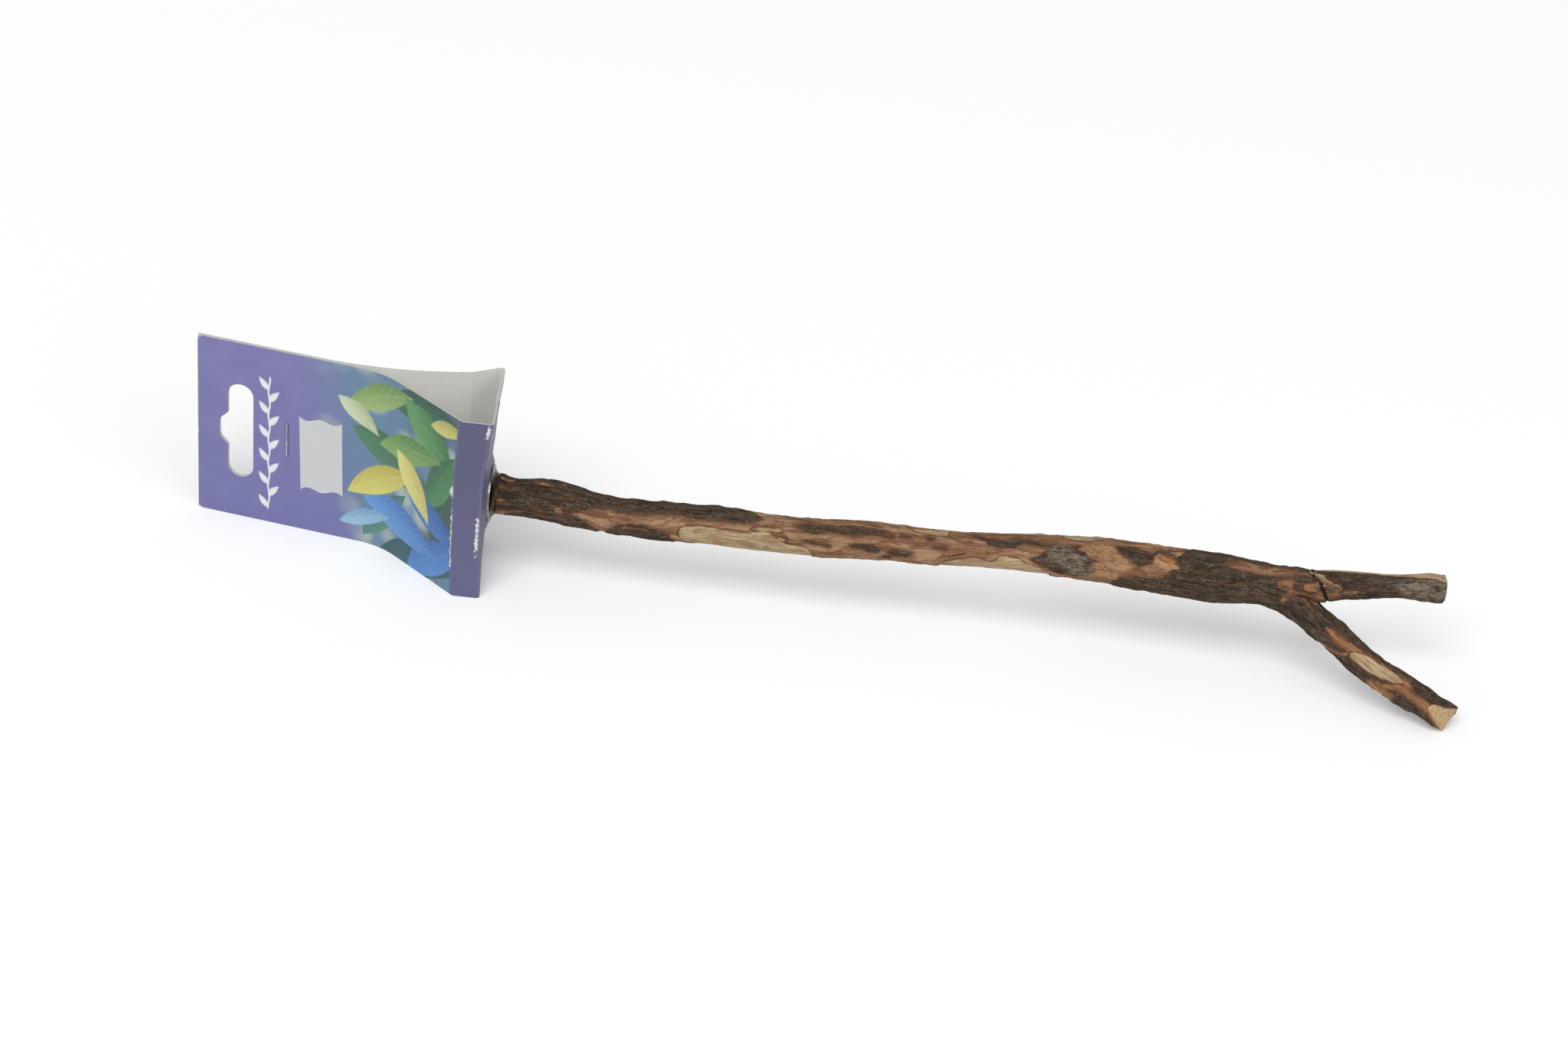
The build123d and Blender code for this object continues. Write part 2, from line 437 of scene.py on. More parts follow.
@dataclass(frozen=True)
class Grit:
    """Repeatable lattice noise for shaping a surface; stretch is lattice cells a millimetre on each axis."""

    seed: int
    stretch: tuple[float, float, float]
    octaves: int = 3

    def at(self, places: np.ndarray) -> np.ndarray:
        """Noise in octaves, each twice as fine and half as strong as the one before.

        Args:
            places: one row of three per point, mm.

        Returns:
            Values of about -1 to 1.
        """
        cells = places * self.stretch
        total = np.zeros(len(cells))
        for octave in range(self.octaves):
            total += self._octave(cells * 2.0**octave + OCTAVE_SHIFT * octave) * 0.5**octave
        return total / (2 - 0.5 ** (self.octaves - 1))

    def _octave(self, places: np.ndarray) -> np.ndarray:
        """Smooth noise of one fineness.

        Args:
            places: one row of three per point, a lattice cell being 1.

        Returns:
            Values from -1 to 1.
        """
        cell = np.floor(places).astype(np.int64)
        part = places - cell
        part = part * part * part * (part * (part * 6 - 15) + 10)
        total = np.zeros(len(places))
        for corner in np.ndindex(2, 2, 2):
            code = (cell + np.array(corner)) @ np.array(LATTICE)
            code = (code + self.seed * SCRAMBLE) & WORD
            code = ((code ^ (code >> 13)) * SCRAMBLE) & WORD
            code = code ^ (code >> 16)
            share = np.ones(len(places))
            for axis in range(3):
                share = share * (part[:, axis] if corner[axis] else 1 - part[:, axis])
            total += share * ((code & HALF_WORD) / (HALF_WORD / 2) - 1)
        return total


def step(values: np.ndarray, low: float, high: float) -> np.ndarray:
    """Smooth step of an array.

    Args:
        values: the array.
        low: where the result is 0.
        high: where the result is 1.

    Returns:
        Weights from 0 to 1.
    """
    part = np.clip((values - low) / (high - low), 0, 1)
    return part * part * (3 - 2 * part)


class LimbName(Enum):
    """The branch's limbs."""

    STEM = 0
    UPPER = 1
    LOWER = 2
    STUB = 3


class Layer(Enum):
    """What a place on the branch shows."""

    BARK = "outer bark"
    SKIN = "inner bark"
    WOOD = "bare wood"
    RUST = "reddish stain"
    AMBER = "orange stain"
    SAND = "pale mottling"
    CRUST = "grey crust"
    # a crack, carved in, whose near-black is painted shade
    SPLIT = "dark split"


STAINS = (Layer.RUST, Layer.AMBER, Layer.SAND, Layer.CRUST, Layer.SPLIT)


@dataclass(frozen=True)
class Patch:
    """A place on a limb, drawn as rows of a station in mm and its lowest and highest bearing in degrees.

    Bearing 0 faces the front of the perch and 90 its upper outline. A patch that names no limbs lies on all.
    """

    layer: Layer
    rows: tuple[tuple[float, float, float], ...]
    ragged: float = 0.3
    limbs: tuple[LimbName, ...] = ()

    def depth(self, at: Mapping[str, np.ndarray], noise: Mapping[str, np.ndarray]) -> np.ndarray:
        """How far inside the patch each point lies.

        Args:
            at: limb places of the points.
            noise: the branch's noises at the points.

        Returns:
            Distance to the ragged border in mm, positive inside.
        """
        along = at["along"] + noise["splinter"] * SPLINTER * self.ragged
        bearing = at["bearing"] + noise["sway"] * SWAY * self.ragged
        table = np.array(self.rows)
        low = np.interp(along, table[:, 0], table[:, 1])
        high = np.interp(along, table[:, 0], table[:, 2])
        turn = (bearing - (low + high) / 2 + 180) % 360 - 180
        aside = np.radians((high - low) / 2 - np.abs(turn)) * at["radius"]
        ahead = np.minimum(along - table[0, 0], table[-1, 0] - along)
        outside = np.hypot(np.minimum(aside, 0), np.minimum(ahead, 0))
        inside = np.where(outside > 0, -outside, np.minimum(aside, ahead))
        inside += (noise["ragged"] * FRAY + noise["chips"] * CHIP) * self.ragged
        if self.limbs:
            inside = np.where(np.isin(at["limb"], [limb.value for limb in self.limbs]), inside, FAR_OUT)
        return inside


@dataclass(frozen=True)
class Marks:
    """Noises that the coats of bark, skin and wood share, and the lines where bark and wood begin."""

    fibre: Shade
    thread: Shade
    speck: Shade
    mottle: Shade
    broad: Shade
    fleck: Shade
    furrow: Shade
    grit: Shade
    vein: Shade
    flake: Shade
    bark_line: Shade
    wood_line: Shade


@dataclass(frozen=True)
class BarkFinish:
    """Dark outer bark over tan inner bark over cream wood, with painted shade in the cracks, from weights
    stored on the mesh.
    """

    bark_deep: Rgba = paint(34, 26, 20)
    bark_dark: Rgba = paint(54, 44, 35)
    bark_mid: Rgba = paint(74, 60, 48)
    bark_pale: Rgba = paint(110, 97, 83)
    bark_brown: Rgba = paint(88, 62, 44)
    skin_dark: Rgba = paint(106, 71, 47)
    skin_mid: Rgba = paint(146, 108, 78)
    skin_pale: Rgba = paint(176, 143, 113)
    wood_dark: Rgba = paint(130, 103, 74)
    wood_mid: Rgba = paint(156, 132, 102)
    wood_pale: Rgba = paint(187, 164, 132)
    rim: Rgba = paint(86, 55, 37)
    halo: Rgba = paint(92, 63, 44)
    rust: Rgba = paint(115, 75, 51)
    amber: Rgba = paint(178, 114, 60)
    sand: Rgba = paint(160, 123, 87)
    crust: Rgba = paint(136, 122, 106)
    # near-black painted shade inside the cracks
    split: Rgba = paint(24, 17, 13)
    end_pale: Rgba = paint(192, 168, 130)
    end_dark: Rgba = paint(160, 131, 94)

    def material(self) -> bpy.types.Material:
        """Writes the material."""
        book = Recipe("stripped_bark")
        grain = book.arrow("grain")
        marks = self._marks(book, grain)
        thread, speck, mottle = marks.thread, marks.speck, marks.mottle
        bark = marks.bark_line.rise(-0.36, 0.0)
        wood = marks.wood_line.rise(-0.10, 0.12)
        bloom = book.weight("crust") * (speck * 0.45 + mottle * 0.25 + thread * 0.3).rise(0.40, 0.60)
        rim = abs(marks.wood_line + 0.15).rise(0.55, 0.05)
        rim = rim * (marks.fleck * 0.5 + mottle * 0.5).rise(0.35, 0.52)
        colour = book.coats(
            self._skin(book, marks),
            (bark, self._shell(book, marks)),
            (bloom * 0.8, self.crust),
            (wood, self._bare(book, marks)),
            (rim * 0.85, self.rim),
            (book.weight("sawn"), self._end(book, grain, speck)),
            # cracks: near-black painted shade
            (book.weight("split"), self.split),
        )
        height = bark * (thread * 0.5 + speck * 0.5 - marks.furrow * 0.5)
        height = height + (1.0 - bark) * (thread * 0.30 + speck * 0.15) * (1.0 - wood * 0.7)
        return book.surface({
            "Base Color": colour,
            "Roughness": 0.64 + bark * 0.22 + speck * 0.15,
            "Specular IOR Level": 0.2,
            "Normal": book.bump(height, 0.8, 0.0004),
        })

    @staticmethod
    def _marks(book: Recipe, grain: Shade) -> Marks:
        """Writes the noises, drawn out along the grain.

        Args:
            book: the recipe.
            grain: a point's station, and its place to the front and up from the limb's middle, mm.

        Returns:
            The noises.
        """
        fibre = book.streak(grain, 0.14, 0.72, 4.0, 0.6, 0.25)
        thread = book.streak(grain, 0.08, 2.1, 3.0, 0.6)
        speck = book.streak(grain, 0.55, 1.25, 4.0, 0.65)
        furrow = book.streak(grain, 0.11, 0.62, 3.0, 0.55, 0.4)
        vein = book.streak(grain, 0.26, 0.85, 3.0, 0.55, 1.4)
        cells = book.node(
            "ShaderNodeTexVoronoi", {"feature": "F1"},
            {"Vector": grain.scaled((0.20, 1.0, 1.0)), "Scale": 0.55}, "Color",
        )
        return Marks(
            fibre=fibre,
            thread=thread,
            speck=speck,
            mottle=book.streak(grain, 0.5, 0.34, 3.0, 0.6),
            broad=book.streak(grain, 0.5, 0.13, 2.0),
            fleck=book.streak(grain, 0.30, 0.60, 3.0, 0.6, 0.6),
            furrow=abs(furrow - 0.5).rise(0.045, 0.0),
            grit=book.streak(grain, 0.8, 1.9, 3.0, 0.7),
            vein=abs(vein - 0.5).rise(0.030, 0.006),
            flake=cells.part(0) + (speck - 0.5) * 0.5,
            bark_line=book.weight("bark") + (speck - 0.5) * 2.4 + (fibre - 0.5) * 1.8,
            wood_line=book.weight("wood") + (thread - 0.5) * 0.5 + (speck - 0.5) * 0.7,
        )

    def _skin(self, book: Recipe, marks: Marks) -> Shade:
        """Tan inner bark with stains, flakes, veins and a dark halo round the bark.

        Args:
            book: the recipe.
            marks: the shared noises.

        Returns:
            The colour.
        """
        fibre, speck, mottle = marks.fibre, marks.speck, marks.mottle
        return book.coats(
            self.skin_dark,
            (fibre.rise(0.36, 0.60), self.skin_mid),
            (book.weight("rust") * fibre.rise(0.34, 0.56) * 0.65, self.rust),
            (book.weight("amber") * fibre.rise(0.30, 0.50) * 0.85, self.amber),
            (marks.thread.rise(0.46, 0.68) * 0.75, self.skin_pale),
            (marks.broad.rise(0.48, 0.66) * 0.45, self.sand),
            (marks.flake.rise(0.62, 0.70) * 0.45, self.skin_pale),
            (marks.flake.rise(0.34, 0.26) * 0.40, self.skin_dark),
            (book.weight("sand") * (speck * 0.6 + mottle * 0.4).rise(0.40, 0.56) * 0.85, self.sand),
            (marks.fleck.rise(0.58, 0.70) * 0.6, self.skin_dark),
            (marks.furrow * mottle.rise(0.42, 0.60) * 0.8, self.rim),
            (marks.vein * mottle.rise(0.40, 0.56) * 0.75, self.rim),
            (speck.rise(0.62, 0.72) * 0.7, self.rim),
            (marks.bark_line.rise(-2.0, 0.1) * (0.35 + fibre.rise(0.62, 0.42) * 0.5), self.halo),
        )

    def _shell(self, book: Recipe, marks: Marks) -> Shade:
        """Dark outer bark with furrows, pale weathering and brown breaks.

        Args:
            book: the recipe.
            marks: the shared noises.

        Returns:
            The colour.
        """
        fibre, thread, speck = marks.fibre, marks.thread, marks.speck
        return book.coats(
            self.bark_dark,
            (fibre.rise(0.36, 0.58), self.bark_mid),
            (marks.mottle.rise(0.50, 0.66) * 0.7, self.bark_brown),
            ((speck * 0.6 + thread * 0.4).rise(0.49, 0.64) * 0.8, self.bark_pale),
            (marks.grit.rise(0.54, 0.66) * 0.55, self.bark_pale),
            (marks.grit.rise(0.46, 0.36) * 0.5, self.bark_deep),
            (thread.rise(0.42, 0.30) * 0.45, self.bark_deep),
            (marks.furrow * 0.6, self.bark_deep),
            (marks.fleck.rise(0.64, 0.72) * 0.7, self.skin_dark),
            (speck.rise(0.68, 0.75) * 0.6, self.skin_mid),
            (marks.bark_line.rise(0.8, 0.0) * fibre.rise(0.40, 0.58) * 0.8, self.halo),
        )

    def _bare(self, book: Recipe, marks: Marks) -> Shade:
        """Cream wood with darker fibres and specks.

        Args:
            book: the recipe.
            marks: the shared noises.

        Returns:
            The colour.
        """
        return book.coats(
            self.wood_mid,
            ((marks.thread * 0.5 + marks.fibre * 0.5).rise(0.40, 0.58), self.wood_pale),
            (marks.fleck.rise(0.48, 0.62) * 0.70, self.wood_dark),
            (marks.speck.rise(0.58, 0.68) * 0.55, self.wood_dark),
            (marks.broad.rise(0.48, 0.36) * 0.35, self.sand),
            (marks.thread.rise(0.55, 0.70) * 0.8, self.end_pale),
            (marks.furrow * 0.65, self.wood_dark),
        )

    def _end(self, book: Recipe, grain: Shade, speck: Shade) -> Shade:
        """Sawn end grain with year rings.

        Args:
            book: the recipe.
            grain: a point's station, and its place to the front and up from the limb's middle, mm.
            speck: speckled noise.

        Returns:
            The colour.
        """
        rings = (grain.off_axis() * 7.0 + (speck - 0.5) * 3.0).wave() * 0.5 + 0.5
        return book.mix(rings * 0.35 + speck.rise(0.35, 0.65) * 0.5, self.end_pale, self.end_dark)


@dataclass(frozen=True)
class Relief:
    """How far each thing stands out of the branch, mm, negative where it sinks in.

    An edge is two depths inside bark or wood, and the butt's reach two stations: where a thing starts and
    where it is full.
    """

    skin: float = -0.16
    lumps: float = 0.26
    knobs: float = 0.24
    rags: float = 0.30
    bark: float = 0.26
    plates: float = 0.34
    furrows: float = -0.24
    fibres: float = 0.09
    chips: float = 0.10
    wood: float = -0.26
    butt: float = 0.15
    butt_knobs: float = 0.5
    butt_reach: tuple[float, float] = (5.0, 1.0)
    crotch_reach: float = 3.4
    crotch_below: float = -1.0
    crotch_above: float = 0.5
    stub: float = 0.5
    sawn: float = -0.05
    split: float = -0.5
    limits: tuple[float, float] = (-1.2, 0.65)
    bark_edge: tuple[float, float] = (-0.4, 0.7)
    wood_edge: tuple[float, float] = (-0.2, 0.3)
    furrow_narrow: float = 2.2
    furrow_sharp: int = 3


@dataclass
class Branch:
    """The forked limb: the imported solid's shape with bark, stripped places and sawn ends worked into it.

    A ring is a station along the wood in mm, the limb's middle there in y and z, and its thickness. A row
    of the tip's fan is a station and the lower and upper border of the sawn face there. Patches of bark,
    skin and wood are laid in order, each over those before it. The back, which they mostly leave free,
    keeps its bark outside the back's two stations and has bark in places between them.
    """

    voxel: float = 0.40
    smoothing: float = 0.5
    smooth_rounds: int = 3
    wood_face: float = 2.4
    facing: tuple[float, float, float] = (0.00905, -0.83585, 0.54888)
    crotch: tuple[float, float, float] = (244.0, -10.0, -2.0)
    tip: tuple[float, float, float] = (283.4, -25.8, -24.2)
    tip_cut: tuple[float, float, float] = (0.3718, -0.9203, 0.1219)
    tip_start: float = 268.0
    tip_depth: float = 0.45
    tip_fan: tuple[tuple[float, float, float], ...] = (
        (273.4, -0.5, -0.2), (275.0, -1.8, 0.8), (278.0, -3.1, 1.9), (281.0, -4.6, 3.6), (283.0, -6.0, 6.0),
    )
    fan_edge: tuple[float, float] = (-0.2, 0.2)
    butt_depth: float = 0.3
    butt_radius: float = 4.6
    end_depth: float = 0.35
    end_share: float = 0.52
    station_step: float = 0.75
    overrun: float = 0.5
    heading_span: int = 9
    block: int = 6000
    back_bearings: tuple[float, float] = (92.0, 124.0)
    back_stations: tuple[float, float] = (21.0, 198.0)
    back_bark: tuple[float, float] = (3.2, 0.2)
    back_bark_drift: float = 6.0
    back_wood: float = -2.2
    back_wood_drift: float = 6.5
    front_bark: float = -3.0
    front_wood: float = -4.0
    deepest: float = 3.0
    split_edge: tuple[float, float] = (-0.15, 0.2)
    stain_edge: tuple[float, float] = (-1.2, 1.2)
    relief: Relief = Relief()
    noises: dict[str, Grit] = field(
        default_factory=lambda: {
            "ragged": Grit(3, (0.20, 0.60, 0.60)),
            "chips": Grit(5, (0.45, 1.1, 1.1), 2),
            "drift": Grit(11, (0.055, 0.20, 0.20)),
            "bared": Grit(13, (0.05, 0.17, 0.17)),
            "plates": Grit(23, (0.14, 0.85, 0.85)),
            "furrows": Grit(29, (0.09, 0.62, 0.62), 2),
            "lumps": Grit(31, (0.05, 0.12, 0.12), 2),
            "fibres": Grit(37, (0.10, 1.25, 1.25), 2),
            "splinter": Grit(41, (0.035, 0.75, 0.75), 2),
            "sway": Grit(43, (0.11, 0.22, 0.22)),
            "stub": Grit(47, (0.38, 0.38, 0.38), 2),
            "knobs": Grit(53, (0.20, 0.30, 0.30)),
            "rags": Grit(59, (0.33, 0.48, 0.48)),
        }
    )
    rings: dict[LimbName, tuple[tuple[float, float, float, float], ...]] = field(
        default_factory=lambda: {
            LimbName.STEM: (
                (0.0, 0.0, -0.4, 12.0), (9.0, 0.0, -0.4, 11.9), (18.0, -0.2, -0.9, 12.7),
                (31.0, -0.7, -2.3, 10.9), (43.0, -1.1, -2.5, 11.4), (65.0, -2.0, -1.6, 12.2),
                (90.0, -2.8, -1.2, 11.8), (112.0, -3.3, 0.6, 11.5), (132.0, -3.8, 1.0, 10.7),
                (152.0, -4.0, 2.2, 11.2), (174.0, -4.0, 2.9, 12.9), (194.0, -4.1, 1.9, 13.8),
                (209.0, -4.1, 1.2, 13.8), (222.0, -4.3, 1.8, 10.8),
            ),
            LimbName.UPPER: (
                (203.0, -4.1, 1.5, 11.0), (215.0, -3.9, 1.4, 11.0), (227.0, -3.5, 1.5, 10.3),
                (239.0, -2.7, 2.0, 9.0), (251.0, -1.0, 2.4, 8.5), (260.5, 0.2, 2.6, 7.2),
                (269.0, 1.3, 2.6, 8.1), (276.5, 2.2, 2.2, 8.3),
            ),
            LimbName.LOWER: (
                (204.0, -4.1, 1.4, 10.8), (220.0, -4.9, 1.2, 10.2), (233.0, -7.6, -1.6, 9.4),
                (247.0, -13.2, -9.4, 8.7), (261.5, -19.3, -17.0, 8.7), (275.0, -24.2, -21.5, 8.4),
                (281.0, -25.8, -24.2, 8.8),
            ),
            LimbName.STUB: (
                (222.0, -4.4, 1.7, 9.6), (235.0, -6.4, 3.9, 8.8), (245.5, -8.4, 5.6, 7.6),
            ),
        }
    )
    patches: tuple[Patch, ...] = (
        # stem, from the washer to the bare wood
        Patch(Layer.BARK, ((-2, -125, 125), (33, -125, 125))),
        Patch(Layer.BARK, ((30, -40, 125), (72.5, -40, 125), (74, 8, 72), (76, 18, 50), (77, 26, 31))),
        Patch(Layer.SKIN, (
            (22.5, -22, -19), (26, -36, -3), (29, -54, 9), (32, -110, 17), (34.5, -125, 18), (36, -125, 11),
            (40, -125, 13), (46, -125, 18), (54, -125, 21), (60, -125, 14), (66, -125, 15), (72, -125, 18),
            (76.5, -125, 27), (80, -125, 60),
        ), 0.25),
        Patch(Layer.RUST, ((23, -30, -10), (29, -54, 12), (35, -60, 20), (40, -20, 14), (46, -10, 12)), 0.5),
        Patch(Layer.BARK, (
            (32.2, -125, -70), (34.5, -125, -41), (37, -125, -28), (41, -125, -20), (44, -125, -22),
            (47, -125, -29), (50, -125, -38), (51.7, -125, -42), (52.3, -110, -60),
        ), 0.2),
        Patch(Layer.SKIN, ((37.5, -41, -35), (39.5, -39, -30), (42.5, -35, -29), (45.5, -40, -35)), 0.4),
        Patch(Layer.SKIN, ((-0.5, 18, 30), (1.6, 18, 30), (2.6, 21, 26)), 0.15),
        Patch(Layer.SKIN, ((-0.5, 55, 80), (4, 52, 78), (5, 60, 70)), 0.4),
        Patch(Layer.SKIN, ((9, -30, -26), (12, -32, -25), (15.5, -30, -27)), 0.35),
        Patch(Layer.SKIN, ((11, 50, 58), (13, 46, 60), (15.5, 48, 53)), 0.3),
        Patch(Layer.SKIN, ((17.8, -24, -14), (20.5, -26, -12)), 0.5),
        Patch(Layer.SKIN, ((-0.5, -66, -50), (2, -64, -44), (5, -56, -42), (8, -48, -42)), 0.6),
        Patch(Layer.SKIN, ((9.5, -50, -44), (13, -52, -40), (18, -46, -36), (22, -42, -34)), 0.6),
        Patch(Layer.SKIN, ((-0.5, -20, -8), (1.2, -18, -10)), 0.6),
        Patch(Layer.AMBER, ((-1, -70, 80), (4, -70, 80), (16, -62, 60)), 0.5),
        Patch(Layer.WOOD, ((17.9, 62, 68), (19.0, 66, 80)), 0.1),
        # the long bare place and what runs into it
        Patch(Layer.WOOD, (
            (53.8, -36, -22), (54.6, -46, -13), (56, -60, -8.5), (58, -90, -5), (60, -125, -3),
            (63, -125, -4.5), (66, -125, -7.5), (70, -125, -5), (74, -125, -6.5), (75.5, -125, -3),
            (78, -125, -0.5), (80, -125, -0.5), (81.3, -125, -9), (82, -125, -18), (84, -125, -27),
            (86, -125, -30), (90, -125, -33), (92, -125, -40), (92.6, -125, -60),
        ), 0.12),
        Patch(Layer.WOOD, (
            (74.6, 3, 5), (76.5, 2.5, 12), (78.5, 2, 14), (82.5, 2.5, 14), (83.7, 5, 11),
        ), 0.08),
        Patch(Layer.WOOD, ((81.8, -25, -16), (83, -27, -12), (84.8, -26, -16)), 0.1),
        Patch(Layer.BARK, (
            (88.3, 25, 28), (89.5, 19, 31), (91, 15, 36), (94, 11, 34), (96.5, 18, 34), (99, 16, 36),
            (102, 14, 37), (106, 12, 36), (110, 14, 34), (113, 12, 29), (116, 14, 17),
        ), 0.25),
        Patch(Layer.RUST, (
            (84, -35, 20), (92, -35, 40), (104, -40, 40), (118, -50, 40), (127, -58, 32),
        ), 0.5),
        Patch(Layer.BARK, ((89.8, -13, -11), (93, -20, -13), (97.8, -27, -22)), 0.3),
        Patch(Layer.BARK, ((103.3, -27, -21), (107, -28, -15), (110.3, -32, -19)), 0.6),
        Patch(Layer.BARK, ((107.5, -34, -27), (109.5, -42, -24), (112, -37, -28)), 0.3),
        Patch(Layer.BARK, ((113, -60, -50), (115.2, -64, -48)), 0.4),
        Patch(Layer.BARK, ((114.5, -36, -27), (117, -47, -26), (119.5, -46, -28), (121.4, -38, -31)), 0.3),
        Patch(Layer.BARK, ((117.8, 17, 22), (120.7, 17, 23)), 0.3),
        Patch(Layer.BARK, ((125.3, 18, 28), (127.7, 20, 29)), 0.3),
        Patch(Layer.BARK, ((127.4, -2.5, -0.5), (129.3, -4.5, 1.5), (131.3, -2.5, 0.5)), 0.1),
        Patch(Layer.WOOD, (
            (121.2, 47, 55), (122.2, 42, 62), (125.5, 40, 66), (127.8, 37, 78), (130.5, 39, 80),
            (131.8, 50, 76),
        ), 0.12),
        Patch(Layer.RUST, ((126.5, -62, -50), (130, -52, -28), (134, -34, -18), (137.3, -16, -9)), 0.15),
        Patch(Layer.SPLIT, (
            (129.5, -40, -35.5), (133, -29, -24.5), (135.5, -21.5, -17), (137.2, -13, -9),
        ), 0.15),
        Patch(Layer.WOOD, (
            (129.5, -125, -70), (132, -125, -51), (134.5, -125, -38), (137, -125, -30), (140, -125, -27.5),
            (142, -125, -30), (143.8, -125, -38), (145.2, -125, -36), (146, -125, -26), (147, -125, -15),
            (148.5, -125, -12), (151, -125, -15), (152.8, -125, -21), (153.6, -125, -30), (156, -125, -36),
            (159, -125, -46), (161.5, -125, -70),
        ), 0.1),
        Patch(Layer.BARK, (
            (138.3, 40, 44), (140.5, 36, 48), (143, 24, 38), (145, 15, 36), (148, 14, 36), (150.5, 20, 44),
            (153, 26, 38), (156, 29, 35), (162, 28, 35),
        ), 0.8),
        Patch(Layer.RUST, ((137, 14, 54), (146, 6, 54), (156, 14, 52), (163, 20, 44)), 0.5),
        # the lichen-grey place and the knot
        Patch(Layer.BARK, (
            (156.5, -18, -12), (158.5, -28, 14), (161, -37, 30), (164, -49, 31), (168, -64, 30),
            (170, -62, 26), (171, -58, 0), (173, -52, -3), (174.8, -40, -8), (175.3, -30, -15),
        ), 0.9),
        Patch(Layer.CRUST, (
            (159.5, -8, 18), (163, -12, 30), (167, -36, 30), (170, -60, 4), (174.5, -50, -20),
        ), 0.5),
        Patch(Layer.SAND, ((168, -70, 34), (172, -70, 36), (180, -50, 38), (184, -30, 20)), 0.5),
        Patch(Layer.BARK, (
            (179.3, 36, 43), (182, 18, 47), (184.5, 4, 47), (186.5, -1, 45), (188.5, 10, 40), (190.6, 22, 33),
        ), 0.3),
        Patch(Layer.BARK, (
            (179.3, -125, -70), (181, -125, -40), (184, -125, -28), (190, -125, -26), (194, -125, -20),
            (195.6, -125, -8), (197, -125, 12), (198.5, -125, 40), (200.5, -125, 80), (204, -125, 125),
            (282, -125, 125),
        ), 0.5),
        Patch(Layer.RUST, ((179, -28, 2), (184, -26, 6), (190, -24, 34), (197, -16, 34)), 0.2),
        Patch(Layer.BARK, (
            (190, 28, 34), (192, 40, 47), (194.5, 44, 50), (196.5, 38, 43), (198.5, 22, 28),
        ), 0.3),
        Patch(Layer.SPLIT, (
            (192.2, 28.5, 31.5), (193.1, 34.5, 37.2), (194.4, 38, 40.6), (195.7, 35, 37.7), (196.6, 29, 32),
        ), 0.3),
        Patch(Layer.SPLIT, (
            (192.2, 28.5, 31.5), (193.1, 24, 26.7), (194.4, 21, 23.6), (195.7, 24, 26.7), (196.6, 29, 32),
        ), 0.3),
        Patch(Layer.AMBER, ((190.5, 12, 30), (194, 6, 44), (198, 10, 32)), 0.15),
        Patch(Layer.WOOD, (
            (159, 88, 92), (163, 74, 98), (165.4, 57, 108), (168.5, 52, 112), (172, 57, 102), (178, 80, 86),
        ), 0.35),
        # the fork
        Patch(Layer.SKIN, (
            (212, 34, 44), (216, 27, 62), (222, 23, 66), (230, 27, 64), (237, 36, 60), (240, 50, 58),
        ), 0.35),
        Patch(Layer.RUST, ((209, 14, 48), (222, 16, 44), (234, 22, 42), (239, 40, 52)), 0.3),
        Patch(Layer.SKIN, ((229.2, -24, 4), (231.7, -28, 6)), 0.5, (LimbName.LOWER,)),
        Patch(Layer.SAND, ((228.5, -28, 6), (232.5, -30, 8)), 0.4, (LimbName.LOWER,)),
        Patch(Layer.SKIN, ((228.2, 12, 30), (234.5, 13, 27)), 0.5, (LimbName.LOWER,)),
        Patch(Layer.SPLIT, ((234.7, 2, 6), (235.5, -2, 10), (236.4, 2, 6)), 0.5, (LimbName.LOWER,)),
        # the stub: a knob, a crack painted near-black as shade, and the flap behind it
        Patch(Layer.SKIN, (
            (228.5, -4, 20), (231, -44, 30), (235, -70, 46), (240, -80, 60), (247, -125, 125),
        ), 0.7, (LimbName.STUB,)),
        Patch(Layer.RUST, (
            (226, -20, 40), (231, -80, 60), (240, -125, 60), (247, -125, 80),
        ), 0.3, (LimbName.STUB,)),
        Patch(Layer.AMBER, (
            (230, -24, 10), (233, -36, -4), (236, -50, -20), (239.5, -40, 14),
        ), 0.8, (LimbName.STUB,)),
        Patch(Layer.BARK, (
            (230.5, -12, -2), (233, -22, -14), (237, -34, -24), (239, -30, -26),
        ), 0.8, (LimbName.STUB,)),
        Patch(Layer.BARK, (
            (231.3, 22, 26), (233, 12, 35), (235, 2, 37), (237, 7, 33), (238.3, 18, 28),
        ), 0.2, (LimbName.STUB,)),
        Patch(Layer.BARK, ((233.4, -12, -3), (236, -15, -2)), 0.4, (LimbName.STUB,)),
        Patch(Layer.BARK, ((232, -64, -50), (235, -66, -44), (238.5, -60, -52)), 0.7, (LimbName.STUB,)),
        Patch(Layer.SAND, ((229, -2, 24), (232.5, -40, 14), (234.5, -40, -14)), 0.4, (LimbName.STUB,)),
        Patch(Layer.BARK, ((242.2, -20, -14), (243.4, -24, 2), (244.6, -18, -8)), 0.8, (LimbName.STUB,)),
        Patch(Layer.BARK, ((242.4, -90, -58), (244.4, -80, -52), (246.4, -84, -60)), 0.8, (LimbName.STUB,)),
        Patch(Layer.SAND, (
            (237, 66, 110), (240, 30, 110), (242.3, 12, 100), (245, 0, 60),
        ), 0.4, (LimbName.STUB,)),
        # pale strip along the stub's top edge: a painted highlight on its lit top, drawn as bare wood
        Patch(Layer.WOOD, (
            (236, 90, 125), (237.6, 66, 125), (239.4, 50, 125), (242, 62, 125), (244.4, 96, 125),
        ), 0.3, (LimbName.STUB,)),
        Patch(Layer.SPLIT, (
            (235.4, 86, 90), (236.5, 66, 82), (237.5, 44, 62), (238.5, 24, 44), (239.5, 8, 30),
            (240.1, -14, 20), (240.6, -38, 10), (241.0, -60, -8), (241.4, -90, -24), (241.9, -125, -50),
            (242.2, -125, -90),
        ), 0.08, (LimbName.STUB, LimbName.UPPER)),
        # upper arm
        Patch(Layer.WOOD, (
            (230, 104, 112), (234, 92, 122), (238, 72, 132), (242, 60, 128), (247, 56, 138), (252, 54, 132),
